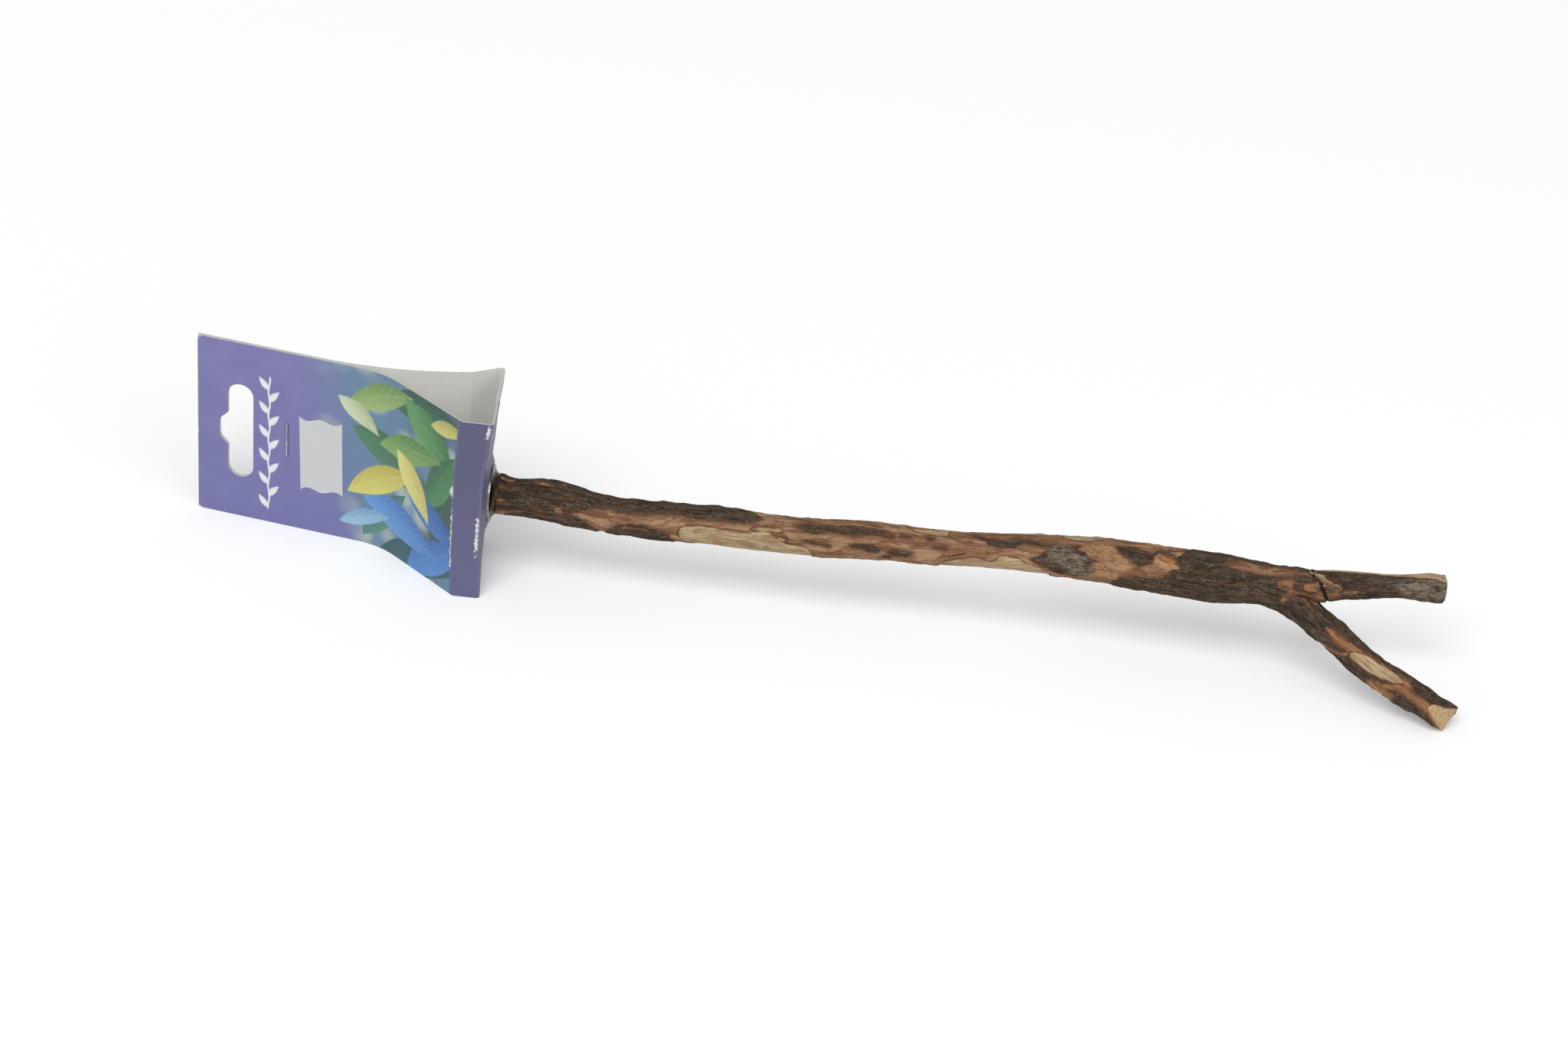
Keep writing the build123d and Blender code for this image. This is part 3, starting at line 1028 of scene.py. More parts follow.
            (258, 52, 142), (264, 50, 136), (268, 44, 146), (272, 36, 140), (278, 18, 150),
        ), 0.15, (LimbName.UPPER,)),
        Patch(Layer.SKIN, ((254.5, 12, 20), (256, 9, 24), (258, 13, 20)), 0.4, (LimbName.UPPER,)),
        Patch(Layer.SKIN, ((244.5, -44, -22), (247, -46, -20), (251.5, -36, -26)), 0.6, (LimbName.UPPER,)),
        Patch(Layer.RUST, ((243, -60, -10), (250, -60, 26), (259, -40, 30)), 0.4, (LimbName.UPPER,)),
        Patch(Layer.CRUST, ((262, -40, 20), (268, -110, 40), (279, -120, 40)), 0.4, (LimbName.UPPER,)),
        # lower arm
        Patch(Layer.SKIN, (
            (242.5, -6, 0), (243.6, -12, 10), (245, -26, 17), (248.5, -22, 20), (252, -20, 27),
            (255, -34, 38), (258, -32, 43), (260, -24, 48), (262, -16, 53), (264.8, -8, 54), (266.8, 4, 46),
            (268.5, 12, 30),
        ), 0.2, (LimbName.LOWER,)),
        Patch(Layer.SKIN, (
            (243.5, -125, -70), (246.3, -80, -57), (248.9, -60, -38), (250.5, -36, -14), (252.4, -18, -4),
        ), 0.15, (LimbName.LOWER,)),
        Patch(Layer.SKIN, (
            (259, -50, -36), (261, -52, -26), (262.7, -38, -6), (265.2, -25, 13), (268, -26, 9),
            (272, -34, 7), (275, -48, 12), (278, -70, 30), (282, -125, 60),
        ), 0.2, (LimbName.LOWER,)),
        Patch(Layer.SKIN, ((258, -70, -44), (262, -110, -34), (266, -76, -44)), 0.3, (LimbName.LOWER,)),
        Patch(Layer.AMBER, (
            (241, -8, 8), (247, -125, 30), (262, -125, 46), (282, -125, 40),
        ), 0.3, (LimbName.LOWER,)),
        Patch(Layer.WOOD, (
            (250.8, -28, -14), (252.0, -34, 4), (253.6, -34, 20), (255.5, -32, 26), (257.5, -27, 31),
            (259.5, -19, 37), (261.7, -9, 42), (263.8, 3, 40), (265.4, 16, 30),
        ), 0.1, (LimbName.LOWER,)),
    )

    def build(self) -> bpy.types.Object:
        """Makes the branch.

        Returns:
            The finished piece.
        """
        piece = Shop.copy_of("branch", "forked_branch")
        Shop.apply(piece, "REMESH", mode="VOXEL", voxel_size=self.voxel * MM, use_smooth_shade=True)
        Shop.apply(piece, "SMOOTH", factor=self.smoothing, iterations=self.smooth_rounds)
        self._work_surface(piece)
        Shop.hold(piece)
        bpy.ops.object.shade_smooth()
        Shop.dress(piece, BarkFinish().material())
        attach(piece, "perch")
        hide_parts("branch")
        return piece

    def _line(self, rings: Sequence[Sequence[float]]) -> tuple[np.ndarray, ...]:
        """Draws a limb's middle line.

        Args:
            rings: rows of a station, the limb's middle there in y and z, and its thickness, mm.

        Returns:
            Stations close together, and the middle, the radius and the heading at each.
        """
        table = np.array(rings)
        stations = np.arange(table[0, 0], table[-1, 0] + self.overrun, self.station_step)
        sides = [np.interp(stations, table[:, 0], table[:, column]) for column in (1, 2)]
        middles = np.column_stack([stations + self.wood_face] + sides)
        radii = np.interp(stations, table[:, 0], table[:, 3]) / 2
        headings = np.gradient(middles, axis=0)
        kernel = np.ones(self.heading_span) / self.heading_span
        for axis in range(3):
            padded = np.pad(headings[:, axis], self.heading_span // 2, mode="edge")
            headings[:, axis] = np.convolve(padded, kernel, mode="valid")
        headings /= np.linalg.norm(headings, axis=1)[:, None]
        return stations, middles, radii, headings

    def _limb_places(self, points: np.ndarray) -> dict[str, np.ndarray]:
        """Finds the limb, station, bearing and radius of each point.

        Args:
            points: points in mm.

        Returns:
            Arrays named limb, along, bearing, radius, front, up and reach.
        """
        count = len(points)
        found = {name: np.zeros(count) for name in ("limb", "along", "bearing", "radius", "front", "up")}
        found["reach"] = np.full(count, np.inf)
        facing = np.array(self.facing)
        for limb, rings in self.rings.items():
            stations, middles, radii, headings = self._line(rings)
            for first in range(0, count, self.block):
                block = points[first:first + self.block]
                gaps = np.linalg.norm(block[:, None, :] - middles[None, :, :], axis=2)
                nearest = gaps.argmin(axis=1)
                reach = gaps[np.arange(len(block)), nearest] / radii[nearest]
                rows = np.nonzero(reach < found["reach"][first:first + self.block])[0]
                chosen = nearest[rows]
                heading = headings[chosen]
                offset = block[rows] - middles[chosen]
                slip = (offset * heading).sum(axis=1)
                front = facing - heading * (heading @ facing)[:, None]
                front /= np.linalg.norm(front, axis=1)[:, None]
                toward = (offset * front).sum(axis=1)
                upward = (offset * np.cross(front, heading)).sum(axis=1)
                spots = first + rows
                found["limb"][spots] = limb.value
                found["along"][spots] = stations[chosen] + slip * heading[:, 0]
                found["bearing"][spots] = np.degrees(np.arctan2(upward, toward))
                found["radius"][spots] = radii[chosen]
                found["front"][spots] = toward
                found["up"][spots] = upward
                found["reach"][spots] = reach[rows]
        return found

    def _work_surface(self, piece: bpy.types.Object) -> None:
        """Carves the bark, stripped places and fibres, and stores what the finish reads.

        Args:
            piece: the remeshed branch.
        """
        points = Shop.points(piece)
        at = self._limb_places(points)
        grain = np.column_stack([at["along"], at["front"], at["up"]])
        noise = {name: grit.at(grain) for name, grit in self.noises.items()}
        cover = self._cover(at, noise)
        cover["sawn"] = self._sawn(points, at)
        self._raise(piece, self._heights(points, at, noise, cover))
        Shop.store(piece, "grain", grain)
        for name, values in cover.items():
            Shop.store(piece, name, values)

    def _cover(self, at: Mapping[str, np.ndarray], noise: Mapping[str, np.ndarray]) -> dict[str, np.ndarray]:
        """Lays the patches on the branch in order, over a back of drifting bark and bare wood.

        Args:
            at: limb places of the points.
            noise: the branch's noises at the points.

        Returns:
            Depth inside the bark and inside the bare wood, mm, and the weight of each stain, by name.
        """
        along = at["along"]
        behind = step(np.abs(at["bearing"]), *self.back_bearings)
        first, last = self.back_stations
        covered = np.where((along < first) | (along > last), *self.back_bark)
        bark = covered + noise["drift"] * self.back_bark_drift + noise["ragged"] * FRAY
        bark = bark * behind + self.front_bark * (1 - behind)
        wood = self.back_wood + noise["bared"] * self.back_wood_drift - np.maximum(bark, 0)
        wood = wood * behind + self.front_wood * (1 - behind)
        stains = {layer: np.zeros(len(along)) for layer in STAINS}
        for patch in self.patches:
            inside = patch.depth(at, noise)
            if patch.layer in stains:
                edge = self.split_edge if patch.layer is Layer.SPLIT else self.stain_edge
                stains[patch.layer] = np.maximum(stains[patch.layer], step(inside, *edge))
                continue
            bare, barked = patch.layer is Layer.WOOD, patch.layer is Layer.BARK
            bark = np.maximum(bark, inside) if barked else np.minimum(bark, -inside)
            wood = np.maximum(wood, inside) if bare else np.minimum(wood, -inside)
        cover = {"bark": bark, "wood": wood}
        cover = {name: np.clip(depth, -self.deepest, self.deepest) for name, depth in cover.items()}
        cover.update({layer.name.lower(): weight for layer, weight in stains.items()})
        return cover

    def _heights(
        self,
        points: np.ndarray,
        at: Mapping[str, np.ndarray],
        noise: Mapping[str, np.ndarray],
        cover: Mapping[str, np.ndarray],
    ) -> np.ndarray:
        """Works out the relief of bark, wood, crotch, stub and sawn ends.

        Args:
            points: points in mm.
            at: limb places of the points.
            noise: the branch's noises at the points.
            cover: what lies where.

        Returns:
            How far each point goes out, mm.
        """
        rise = self.relief
        barked = step(cover["bark"], *rise.bark_edge)
        bare = step(cover["wood"], *rise.wood_edge)
        furrows = np.maximum(1 - np.abs(noise["furrows"]) * rise.furrow_narrow, 0) ** rise.furrow_sharp
        total = rise.skin + noise["lumps"] * rise.lumps + noise["knobs"] * rise.knobs
        total += noise["rags"] * (1 - bare) * rise.rags
        total += barked * (rise.bark + noise["plates"] * rise.plates + furrows * rise.furrows)
        total += (1 - barked) * (1 - bare) * (noise["fibres"] * rise.fibres + noise["chips"] * rise.chips)
        total += bare * rise.wood
        total += step(at["along"], *rise.butt_reach) * (rise.butt + noise["knobs"] * rise.butt_knobs)
        gap = np.linalg.norm(points - np.array(self.crotch), axis=1)
        hollow = np.where(at["limb"] == LimbName.LOWER.value, rise.crotch_below, rise.crotch_above)
        total += hollow * np.exp(-((gap / rise.crotch_reach) ** 2))
        total += np.where(at["limb"] == LimbName.STUB.value, noise["stub"] * rise.stub, 0)
        total = total * (1 - cover["sawn"]) + cover["sawn"] * rise.sawn + cover["split"] * rise.split
        return np.clip(total, *rise.limits)

    def _sawn(self, points: np.ndarray, at: Mapping[str, np.ndarray]) -> np.ndarray:
        """Finds the sawn ends.

        Args:
            points: points in mm.
            at: limb places of the points.

        Returns:
            1 on a sawn end, 0 elsewhere.
        """
        slant = (points - np.array(self.tip)) @ np.array(self.tip_cut)
        fan = np.array(self.tip_fan)
        aside = np.minimum(
            at["up"] - np.interp(at["along"], fan[:, 0], fan[:, 1]),
            np.interp(at["along"], fan[:, 0], fan[:, 2]) - at["up"],
        )
        tip = (np.abs(slant) < self.tip_depth) & (points[:, 0] > self.tip_start)
        butt = points[:, 0] < self.wood_face + self.butt_depth
        butt &= np.hypot(points[:, 1], points[:, 2]) < self.butt_radius
        before, last = self.rings[LimbName.UPPER][-2:]
        heading = (Vector(last[:3]) - Vector(before[:3])).normalized()
        middle = np.array([last[0] + self.wood_face, last[1], last[2]])
        end = (points - middle) @ np.array(heading) > -self.end_depth
        end &= np.linalg.norm(points - middle, axis=1) < last[3] * self.end_share
        return np.maximum(np.where(tip, step(aside, *self.fan_edge), 0.0), np.where(butt | end, 1.0, 0.0))

    @staticmethod
    def _raise(piece: bpy.types.Object, relief: np.ndarray) -> None:
        """Moves the surface out or in along its normals.

        Args:
            piece: the mesh.
            relief: how far each point goes out, mm.
        """
        normals = np.empty(len(relief) * 3)
        piece.data.vertex_normals.foreach_get("vector", normals)
        Shop.set_points(piece, Shop.points(piece) + normals.reshape(-1, 3) * relief[:, None])


@dataclass(frozen=True)
class Leaf:
    """One printed leaf: its middle, size and heading on the flat card in mm and degrees.

    A leaf with a dark tone is shaded and veined, and one without is printed flat.
    """

    across: float
    up: float
    length: float
    width: float
    turn: float
    pale: Rgba
    dark: Optional[Rgba] = None


@dataclass(frozen=True)
class FlatPlace:
    """Where a point lies on the flat card in mm, whether that is its front, and the noises of the print."""

    across: Shade
    up: Shade
    front: Shade
    tooth: Shade
    wear: Shade


@dataclass(frozen=True)
class PrintFinish:
    """Violet satin print with a foliage picture and a base panel darkened with painted shade, read from the
    card's own flat map in mm.

    A worn row is a fold's place, how far to each side it is worn, and the middle and half length of the
    worn stretch.
    """

    ground: Rgba = paint(116, 115, 167)
    ground_low: Rgba = paint(98, 103, 154)
    lip: Rgba = paint(79, 78, 108)
    # the base panel's greyer lilac, darkened further as painted shade
    base: Rgba = paint(92, 91, 112)
    haze: Rgba = paint(92, 128, 150)
    glow: Rgba = paint(196, 206, 186)
    shade: Rgba = paint(52, 74, 66)
    board: Rgba = paint(214, 213, 210)
    white: Rgba = paint(222, 222, 226)
    sprig: Rgba = paint(224, 224, 228)
    fold: float = 88.6
    lip_end: float = 97.4
    base_end: float = 130.2
    middle: float = 1.9
    half_width: float = 30.0
    sprig_place: float = 22.2
    sprig_foot: float = -21.0
    sprig_step: float = 4.1
    sprig_aside: float = 1.5
    sprig_turn: float = 38.0
    sprig_leaf: tuple[float, float] = (5.2, 1.9)
    sprig_leaves: int = 11
    worn: tuple[tuple[float, float, float, float], ...] = (
        (88.4, 0.9, 7.0, 4.5), (88.8, 0.4, -10.0, 18.0), (97.2, 0.7, -8.0, 12.0), (97.2, 0.55, 29.0, 5.0),
        (130.0, 0.6, 20.0, 16.0), (139.6, 0.4, 0.0, 26.0),
    )
    leaves: tuple[Leaf, ...] = (
        Leaf(74.0, 27.0, 30.0, 10.0, 8.0, paint(58, 104, 84), paint(32, 68, 60)),
        Leaf(85.0, -2.0, 34.0, 12.0, 84.0, paint(52, 92, 76), paint(28, 60, 52)),
        Leaf(74.0, -25.0, 34.0, 11.0, 12.0, paint(54, 96, 104), paint(30, 66, 82)),
        Leaf(63.0, 4.0, 34.0, 11.0, -28.0, paint(76, 122, 92), paint(40, 84, 70)),
        Leaf(60.0, -15.0, 26.0, 8.0, 52.0, paint(86, 132, 120), paint(50, 96, 98)),
        Leaf(58.0, 24.0, 26.0, 8.5, 24.0, paint(150, 176, 112), paint(84, 120, 70)),
        Leaf(78.0, 19.0, 30.0, 11.0, -38.0, paint(96, 150, 92), paint(36, 92, 58)),
        Leaf(84.0, 8.0, 26.0, 9.5, 62.0, paint(74, 132, 84), paint(30, 78, 54)),
        Leaf(70.0, 11.0, 27.0, 9.0, 12.0, paint(128, 166, 96), paint(58, 110, 60)),
        Leaf(82.0, -20.0, 30.0, 11.0, 34.0, paint(84, 136, 196), paint(40, 86, 156)),
        Leaf(67.0, -16.0, 32.0, 11.0, -16.0, paint(98, 150, 206), paint(48, 98, 168)),
        Leaf(81.0, -8.0, 26.0, 8.5, -22.0, paint(70, 116, 178), paint(38, 78, 142)),
        Leaf(59.0, -4.0, 28.0, 9.0, 30.0, paint(206, 200, 110), paint(162, 156, 64)),
        Leaf(71.0, 0.0, 24.0, 8.0, -52.0, paint(214, 210, 134), paint(174, 168, 76)),
        Leaf(50.0, 16.0, 17.0, 5.5, -40.0, paint(200, 208, 176), paint(146, 168, 122)),
        Leaf(53.0, -19.0, 18.0, 5.5, 20.0, paint(150, 186, 210), paint(96, 138, 182)),
        Leaf(85.0, 26.0, 15.0, 5.0, 10.0, paint(198, 194, 116), paint(146, 146, 70)),
    )

    def material(self) -> bpy.types.Material:
        """Writes the material."""
        book = Recipe("printed_card")
        flat = book.node("ShaderNodeUVMap", {"uv_map": "flat"}).scaled((FLAT_UNIT,) * 3)
        across, up = flat.part(0), flat.part(1)
        mottle = book.noise(flat, 0.09, 2.0)
        tooth = book.noise(flat, 2.6, 3.0, 0.6)
        wear = book.noise(flat.scaled((1.0, 0.55, 1.0)), 0.9, 4.0, 0.7)
        front = across.rise(self.fold + 0.4, self.fold - 0.4)
        place = FlatPlace(across, up, front, tooth, wear)

        picture = (across + up * 0.20 + (mottle - 0.5) * 22.0).rise(37.0, 54.0) * front
        glow = book.node(
            "ShaderNodeTexVoronoi", {"feature": "SMOOTH_F1"},
            {"Vector": flat, "Scale": 0.085, "Smoothness": 0.4},
        )
        colour = book.coats(
            self.ground,
            (mottle.rise(0.3, 0.7) * 0.35 + (up * -0.006 + 0.1), self.ground_low),
            (picture * 0.85, self.haze),
            (picture * glow.rise(0.50, 0.20) * 0.6, self.glow),
            (picture * across.rise(62.0, 80.0) * mottle.rise(0.62, 0.42) * 0.7, self.shade),
        )
        for leaf in self.leaves + self._sprig():
            colour = self._leaf(book, colour, leaf, place)

        stem = abs(across - self.sprig_place + (up * 0.77 + 0.6).wave() * 0.25).rise(0.34, 0.20)
        stem = stem * up.rise(-24.0, -23.0) * up.rise(23.0, 22.0) * front
        lip = across.rise(self.fold - 0.2, self.fold + 0.6)
        lip = lip * across.rise(self.lip_end + 0.5, self.lip_end - 0.2)
        # the base panel: its greyer lilac, darkened as painted shade
        under = across.rise(self.lip_end - 0.1, self.lip_end + 0.7)
        under = under * across.rise(self.base_end + 0.4, self.base_end - 0.4)
        scuff = self._scuff(book, place)
        colour = book.coats(
            colour,
            (stem, self.white),
            (lip * (0.72 + up.rise(-22.0, 18.0) * 0.2), self.lip),
            (under * 0.9, self.base),
            (scuff, self.board),
            ((tooth - 0.5) * 0.10 + 0.02, self.white),
        )
        return book.surface({
            "Base Color": colour,
            "Roughness": 0.46 + scuff * 0.3 + (tooth - 0.5) * 0.08,
            "Specular IOR Level": 0.35,
            "Normal": book.bump(tooth * 0.5 + scuff, 0.12, 0.0001),
        })

    def _sprig(self) -> tuple[Leaf, ...]:
        """Places the sprig's leaves on the two sides of its stem in turn.

        Returns:
            The leaves from the foot up.
        """
        leaves = []
        for index in range(self.sprig_leaves):
            side = 1.0 if index % 2 else -1.0
            across = self.sprig_place + side * self.sprig_aside
            up = self.sprig_foot + index * self.sprig_step
            leaves.append(Leaf(across, up, *self.sprig_leaf, 90.0 - side * self.sprig_turn, self.sprig))
        return tuple(leaves)

    @staticmethod
    def _leaf(book: Recipe, under: Shade, leaf: Leaf, place: FlatPlace) -> Shade:
        """Prints one leaf over what is there.

        Args:
            book: the recipe.
            under: the colour so far.
            leaf: the leaf.
            place: where the point lies on the flat card.

        Returns:
            The colour with the leaf on it.
        """
        turn = math.radians(leaf.turn)
        right, above = place.across - leaf.across, place.up - leaf.up
        lengthwise = (right * math.cos(turn) + above * math.sin(turn)) / (leaf.length / 2)
        aside = (above * math.cos(turn) - right * math.sin(turn)) / (leaf.width / 2)
        hull = 1.0 - lengthwise * lengthwise
        bend = aside - hull * 0.16
        outline = (hull * (1.0 - lengthwise * 0.28)).least(hull * 4.0) - abs(bend)
        edge = 0.55 / leaf.width
        shape = outline.rise(-edge, edge) * place.front
        if leaf.dark is None:
            return book.mix(shape, under, leaf.pale)
        rib = abs(bend).rise(0.09, 0.02)
        veins = ((lengthwise - abs(bend) * 0.45) * (leaf.length * 0.9)).wave().rise(0.55, 1.0)
        tone = bend * 0.38 + lengthwise * 0.26 + 0.42 + (place.tooth - 0.5) * 0.6
        colour = book.mix(tone, leaf.pale, leaf.dark)
        colour = book.mix((rib * 0.6).most(veins * 0.28), colour, leaf.pale)
        return book.mix(shape, under, colour)

    def _scuff(self, book: Recipe, place: FlatPlace) -> Shade:
        """Where the print is worn off to the white board, at the folds, the border and the corners.

        Args:
            book: the recipe.
            place: where the point lies on the flat card.

        Returns:
            A weight from 0 to 1.
        """
        across, up, wear = place.across, place.up, place.wear
        strip = book.node("ShaderNodeCombineXYZ", None, {0: across * 0.05, 1: up})
        spread = book.noise(strip, 0.30, 2.0, 0.6)
        to_end = (up - (self.middle - self.half_width)).least(self.middle + self.half_width - up)
        border = to_end.least(across).rise(0.9, 0.0)
        total = (border * 0.34 + wear * 0.6 + spread * 0.5).rise(0.96, 1.02)
        total = total.most((across + to_end + (wear - 0.5) * 3.0).rise(1.6, 0.9))
        for fold, reach, middle, span in self.worn:
            near = abs(across - fold + (wear - 0.5) * 3.0).rise(reach, reach * 0.4)
            extent = abs(up - middle).rise(span, span * 0.3)
            total = total.most(near * (wear * 0.9 + spread * 0.4 + extent * 0.32).rise(0.88, 0.98))
        return total


@dataclass(frozen=True)
class BoardFinish:
    """Unprinted grey-white board, for the inside and the cut edges of the card."""

    name: str
    pale: Rgba
    dark: Rgba

    def material(self) -> bpy.types.Material:
        """Writes the material."""
        book = Recipe(self.name)
        place = book.place()
        fibre = book.noise(place.scaled((1.0, 1.0, 0.35)), 2.2, 4.0, 0.65)
        cloud = book.noise(place, 0.12, 2.0)
        colour = book.mix(fibre.rise(0.30, 0.72) * 0.6 + cloud * 0.3, self.pale, self.dark)
        return book.surface({
            "Base Color": colour,
            "Roughness": 0.78 + (fibre - 0.5) * 0.12,
            "Specular IOR Level": 0.2,
            "Normal": book.bump(fibre, 0.15, 0.0001),
        })


class CardFace(Enum):
    """The card's kinds of face, by material number."""

    PRINT = 0
    INSIDE = 1
    EDGE = 2


@dataclass
class HeaderCard:
    """The folded card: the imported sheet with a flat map, print outside, board inside and pale cut edges.

    The creases are lengths along the sheet. A row of a bend is a height and how far the sheet stands out
    there.
    """

    board: float = 0.5
    tab_length: float = 57.2
    tab_lean: float = 10.0
    half_stack: float = 0.6
    neck: tuple[float, float] = (-33.2, 8.3)
    front_face: float = -13.9
    back_face: float = 18.7
    front_lip: float = 8.1
    back_lip_reach: float = 8.5
    back_lip_draw: float = 5.0
    crease_radius: float = 1.0
    front_ease: float = 6.8
    back_ease: float = 20.5
    arc_points: int = 17
    creases: tuple[float, float, float, float] = (88.6, 97.4, 130.0, 139.6)
    seat: tuple[float, float] = (9.3, 13.0)
    slices: tuple[Sequence[float], ...] = ((-25, -18, -12, -6, -4, -2), range(-12, 18, 2), range(-26, 32, 2))
    bend_start: float = 60.0
    first_crease_share: float = 0.4
    front_bend: tuple[tuple[float, float], ...] = (
        (-28.1, -0.4), (-17.0, -0.6), (-7.0, -0.7), (2.5, -0.7), (15.0, -0.5), (21.0, 0.45), (31.9, 1.5),
    )
    back_bend: tuple[tuple[float, float], ...] = (
        (-28.1, -3.4), (-13.1, -2.7), (1.9, -1.9), (16.9, -0.9), (24.4, -0.1), (31.9, 0.7),
    )
    crumple: Grit = Grit(61, (0.22, 0.03, 0.0))
    crumple_depth: float = 0.3
    ply: float = 0.1
    edge_tilt: float = 0.7
    smooth_angle: float = 28.0

    def build(self) -> bpy.types.Object:
        """Makes the card.

        Returns:
            The finished piece.
        """
        piece = Shop.copy_of("header_card", "folded_card")
        inside = BoardFinish("card_inside", paint(227, 228, 222), paint(213, 214, 208))
        edges = BoardFinish("card_edges", paint(206, 205, 200), paint(164, 162, 158))
        Shop.dress(piece, PrintFinish().material(), inside.material(), edges.material())
        self._slice(piece)
        lengths, depths = self._unfold(Shop.points(piece))
        self._map(piece, lengths, depths)
        self._warp(piece, lengths)
        Shop.hold(piece)
        bpy.ops.object.shade_smooth_by_angle(angle=math.radians(self.smooth_angle))
        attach(piece, "card")
        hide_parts("header_card")
        return piece

    def _slice(self, piece: bpy.types.Object) -> None:
        """Cuts the flat panels into small faces that can bend."""
        Shop.hold(piece)
        bpy.ops.object.mode_set(mode="EDIT")
        for axis, places in enumerate(self.slices):
            normal = [float(index == axis) for index in range(3)]
            for place in places:
                bpy.ops.mesh.select_all(action="SELECT")
                bpy.ops.mesh.bisect(plane_co=[part * place * MM for part in normal], plane_no=normal)
        bpy.ops.object.mode_set(mode="OBJECT")

    def _warp(self, piece: bpy.types.Object, lengths: np.ndarray) -> None:
        """Bends the base and its lips as handling has bent them; the washers' seat stays flat.

        Args:
            piece: the sliced card.
            lengths: length along the sheet of each point, mm.
        """
        points = Shop.points(piece)
        up = points[:, 2]
        first, lip, base, last = self.creases
        crumple = self.crumple.at(np.column_stack([up, lengths, up])) * self.crumple_depth
        front = np.interp(up, *zip(*self.front_bend)) + crumple
        back = np.interp(up, *zip(*self.back_bend)) + crumple
        shares = (0.0, self.first_crease_share, 1.0, 0.0)
        bend = front * np.interp(lengths, (self.bend_start, first, lip, base), shares)
        bend += back * np.interp(lengths, (lip, base, last), (0.0, 1.0, 0.0))
        points[:, 0] += bend * step(np.hypot(points[:, 1], up), *self.seat)
        Shop.set_points(piece, points)

    def _outline(self) -> np.ndarray:
        """The outside of the fold seen from above.

        Returns:
            Points in mm from the front hang edge round to the back one.
        """
        lean = math.radians(self.tab_lean)
        along = Vector((-math.cos(lean), math.sin(lean)))
        normal = Vector((math.sin(lean), math.cos(lean)))
        neck = Vector(self.neck)
        front_neck = neck - normal * self.half_stack
        back_neck = neck + normal * self.half_stack
        corners = [
            front_neck + along * self.tab_length,
            front_neck,
            Vector((-self.front_lip, self.front_face)),
            Vector((0.0, self.front_face)),
            Vector((0.0, self.back_face)),
            Vector((-self.back_lip_reach, self.back_face - self.back_lip_draw)),
            back_neck,
            back_neck + along * self.tab_length,
        ]
        eases = [self.front_ease, None, None, None, None, self.back_ease]
        line = [np.array(corners[0])]
        for index, ease in enumerate(eases, start=1):
            corner = corners[index]
            back = (corners[index - 1] - corner).normalized()
            ahead = (corners[index + 1] - corner).normalized()
            half = back.angle(ahead) / 2
            radius = self.crease_radius if ease is None else ease * math.tan(half)
            cut = radius / math.tan(half)
            middle = corner + (back + ahead).normalized() * (radius / math.sin(half))
            first, last = corner + back * cut - middle, corner + ahead * cut - middle
            for share in np.linspace(0, 1, self.arc_points):
                spoke = (first * (1 - share) + last * share).normalized()
                line.append(np.array(middle + spoke * radius))
        line.append(np.array(corners[-1]))
        return np.array(line)

    def _unfold(self, points: np.ndarray) -> tuple[np.ndarray, np.ndarray]:
        """Lays the card's points flat.

        Args:
            points: points in mm.

        Returns:
            Each point's length along the outside of the sheet from its front hang edge, and its depth
            below that outside.
        """
        line = self._outline()
        runs = np.diff(line, axis=0)
        sizes = np.linalg.norm(runs, axis=1)
        starts = np.concatenate([[0], np.cumsum(sizes)[:-1]])
        offset = points[:, None, :2] - line[None, :-1, :]
        share = np.clip((offset * runs[None]).sum(axis=2) / (sizes**2)[None], 0, 1)
        gaps = np.linalg.norm(offset - share[:, :, None] * runs[None], axis=2)
        nearest = gaps.argmin(axis=1)
        rows = np.arange(len(points))
        return starts[nearest] + share[rows, nearest] * sizes[nearest], gaps[rows, nearest]

    def _map(self, piece: bpy.types.Object, lengths: np.ndarray, depths: np.ndarray) -> None:
        """Writes the flat map and sorts the faces into print, inside and edge.

        Args:
            piece: the card.
            lengths: length along the sheet of each point, mm.
            depths: depth below the outside of each point, mm.
        """
        heights = Shop.points(piece)[:, 2]
        while piece.data.uv_layers:
            piece.data.uv_layers.remove(piece.data.uv_layers[0])
        layer = piece.data.uv_layers.new(name="flat")
        for loop in piece.data.loops:
            point = loop.vertex_index
            layer.data[loop.index].uv = (lengths[point] / FLAT_UNIT, heights[point] / FLAT_UNIT)
        for face in piece.data.polygons:
            depth = float(np.mean([depths[point] for point in face.vertices]))
            kind = CardFace.EDGE
            if abs(face.normal.z) <= self.edge_tilt:
                if depth < self.ply:
                    kind = CardFace.PRINT
                elif depth > self.board - self.ply:
                    kind = CardFace.INSIDE
            face.material_index = kind.value


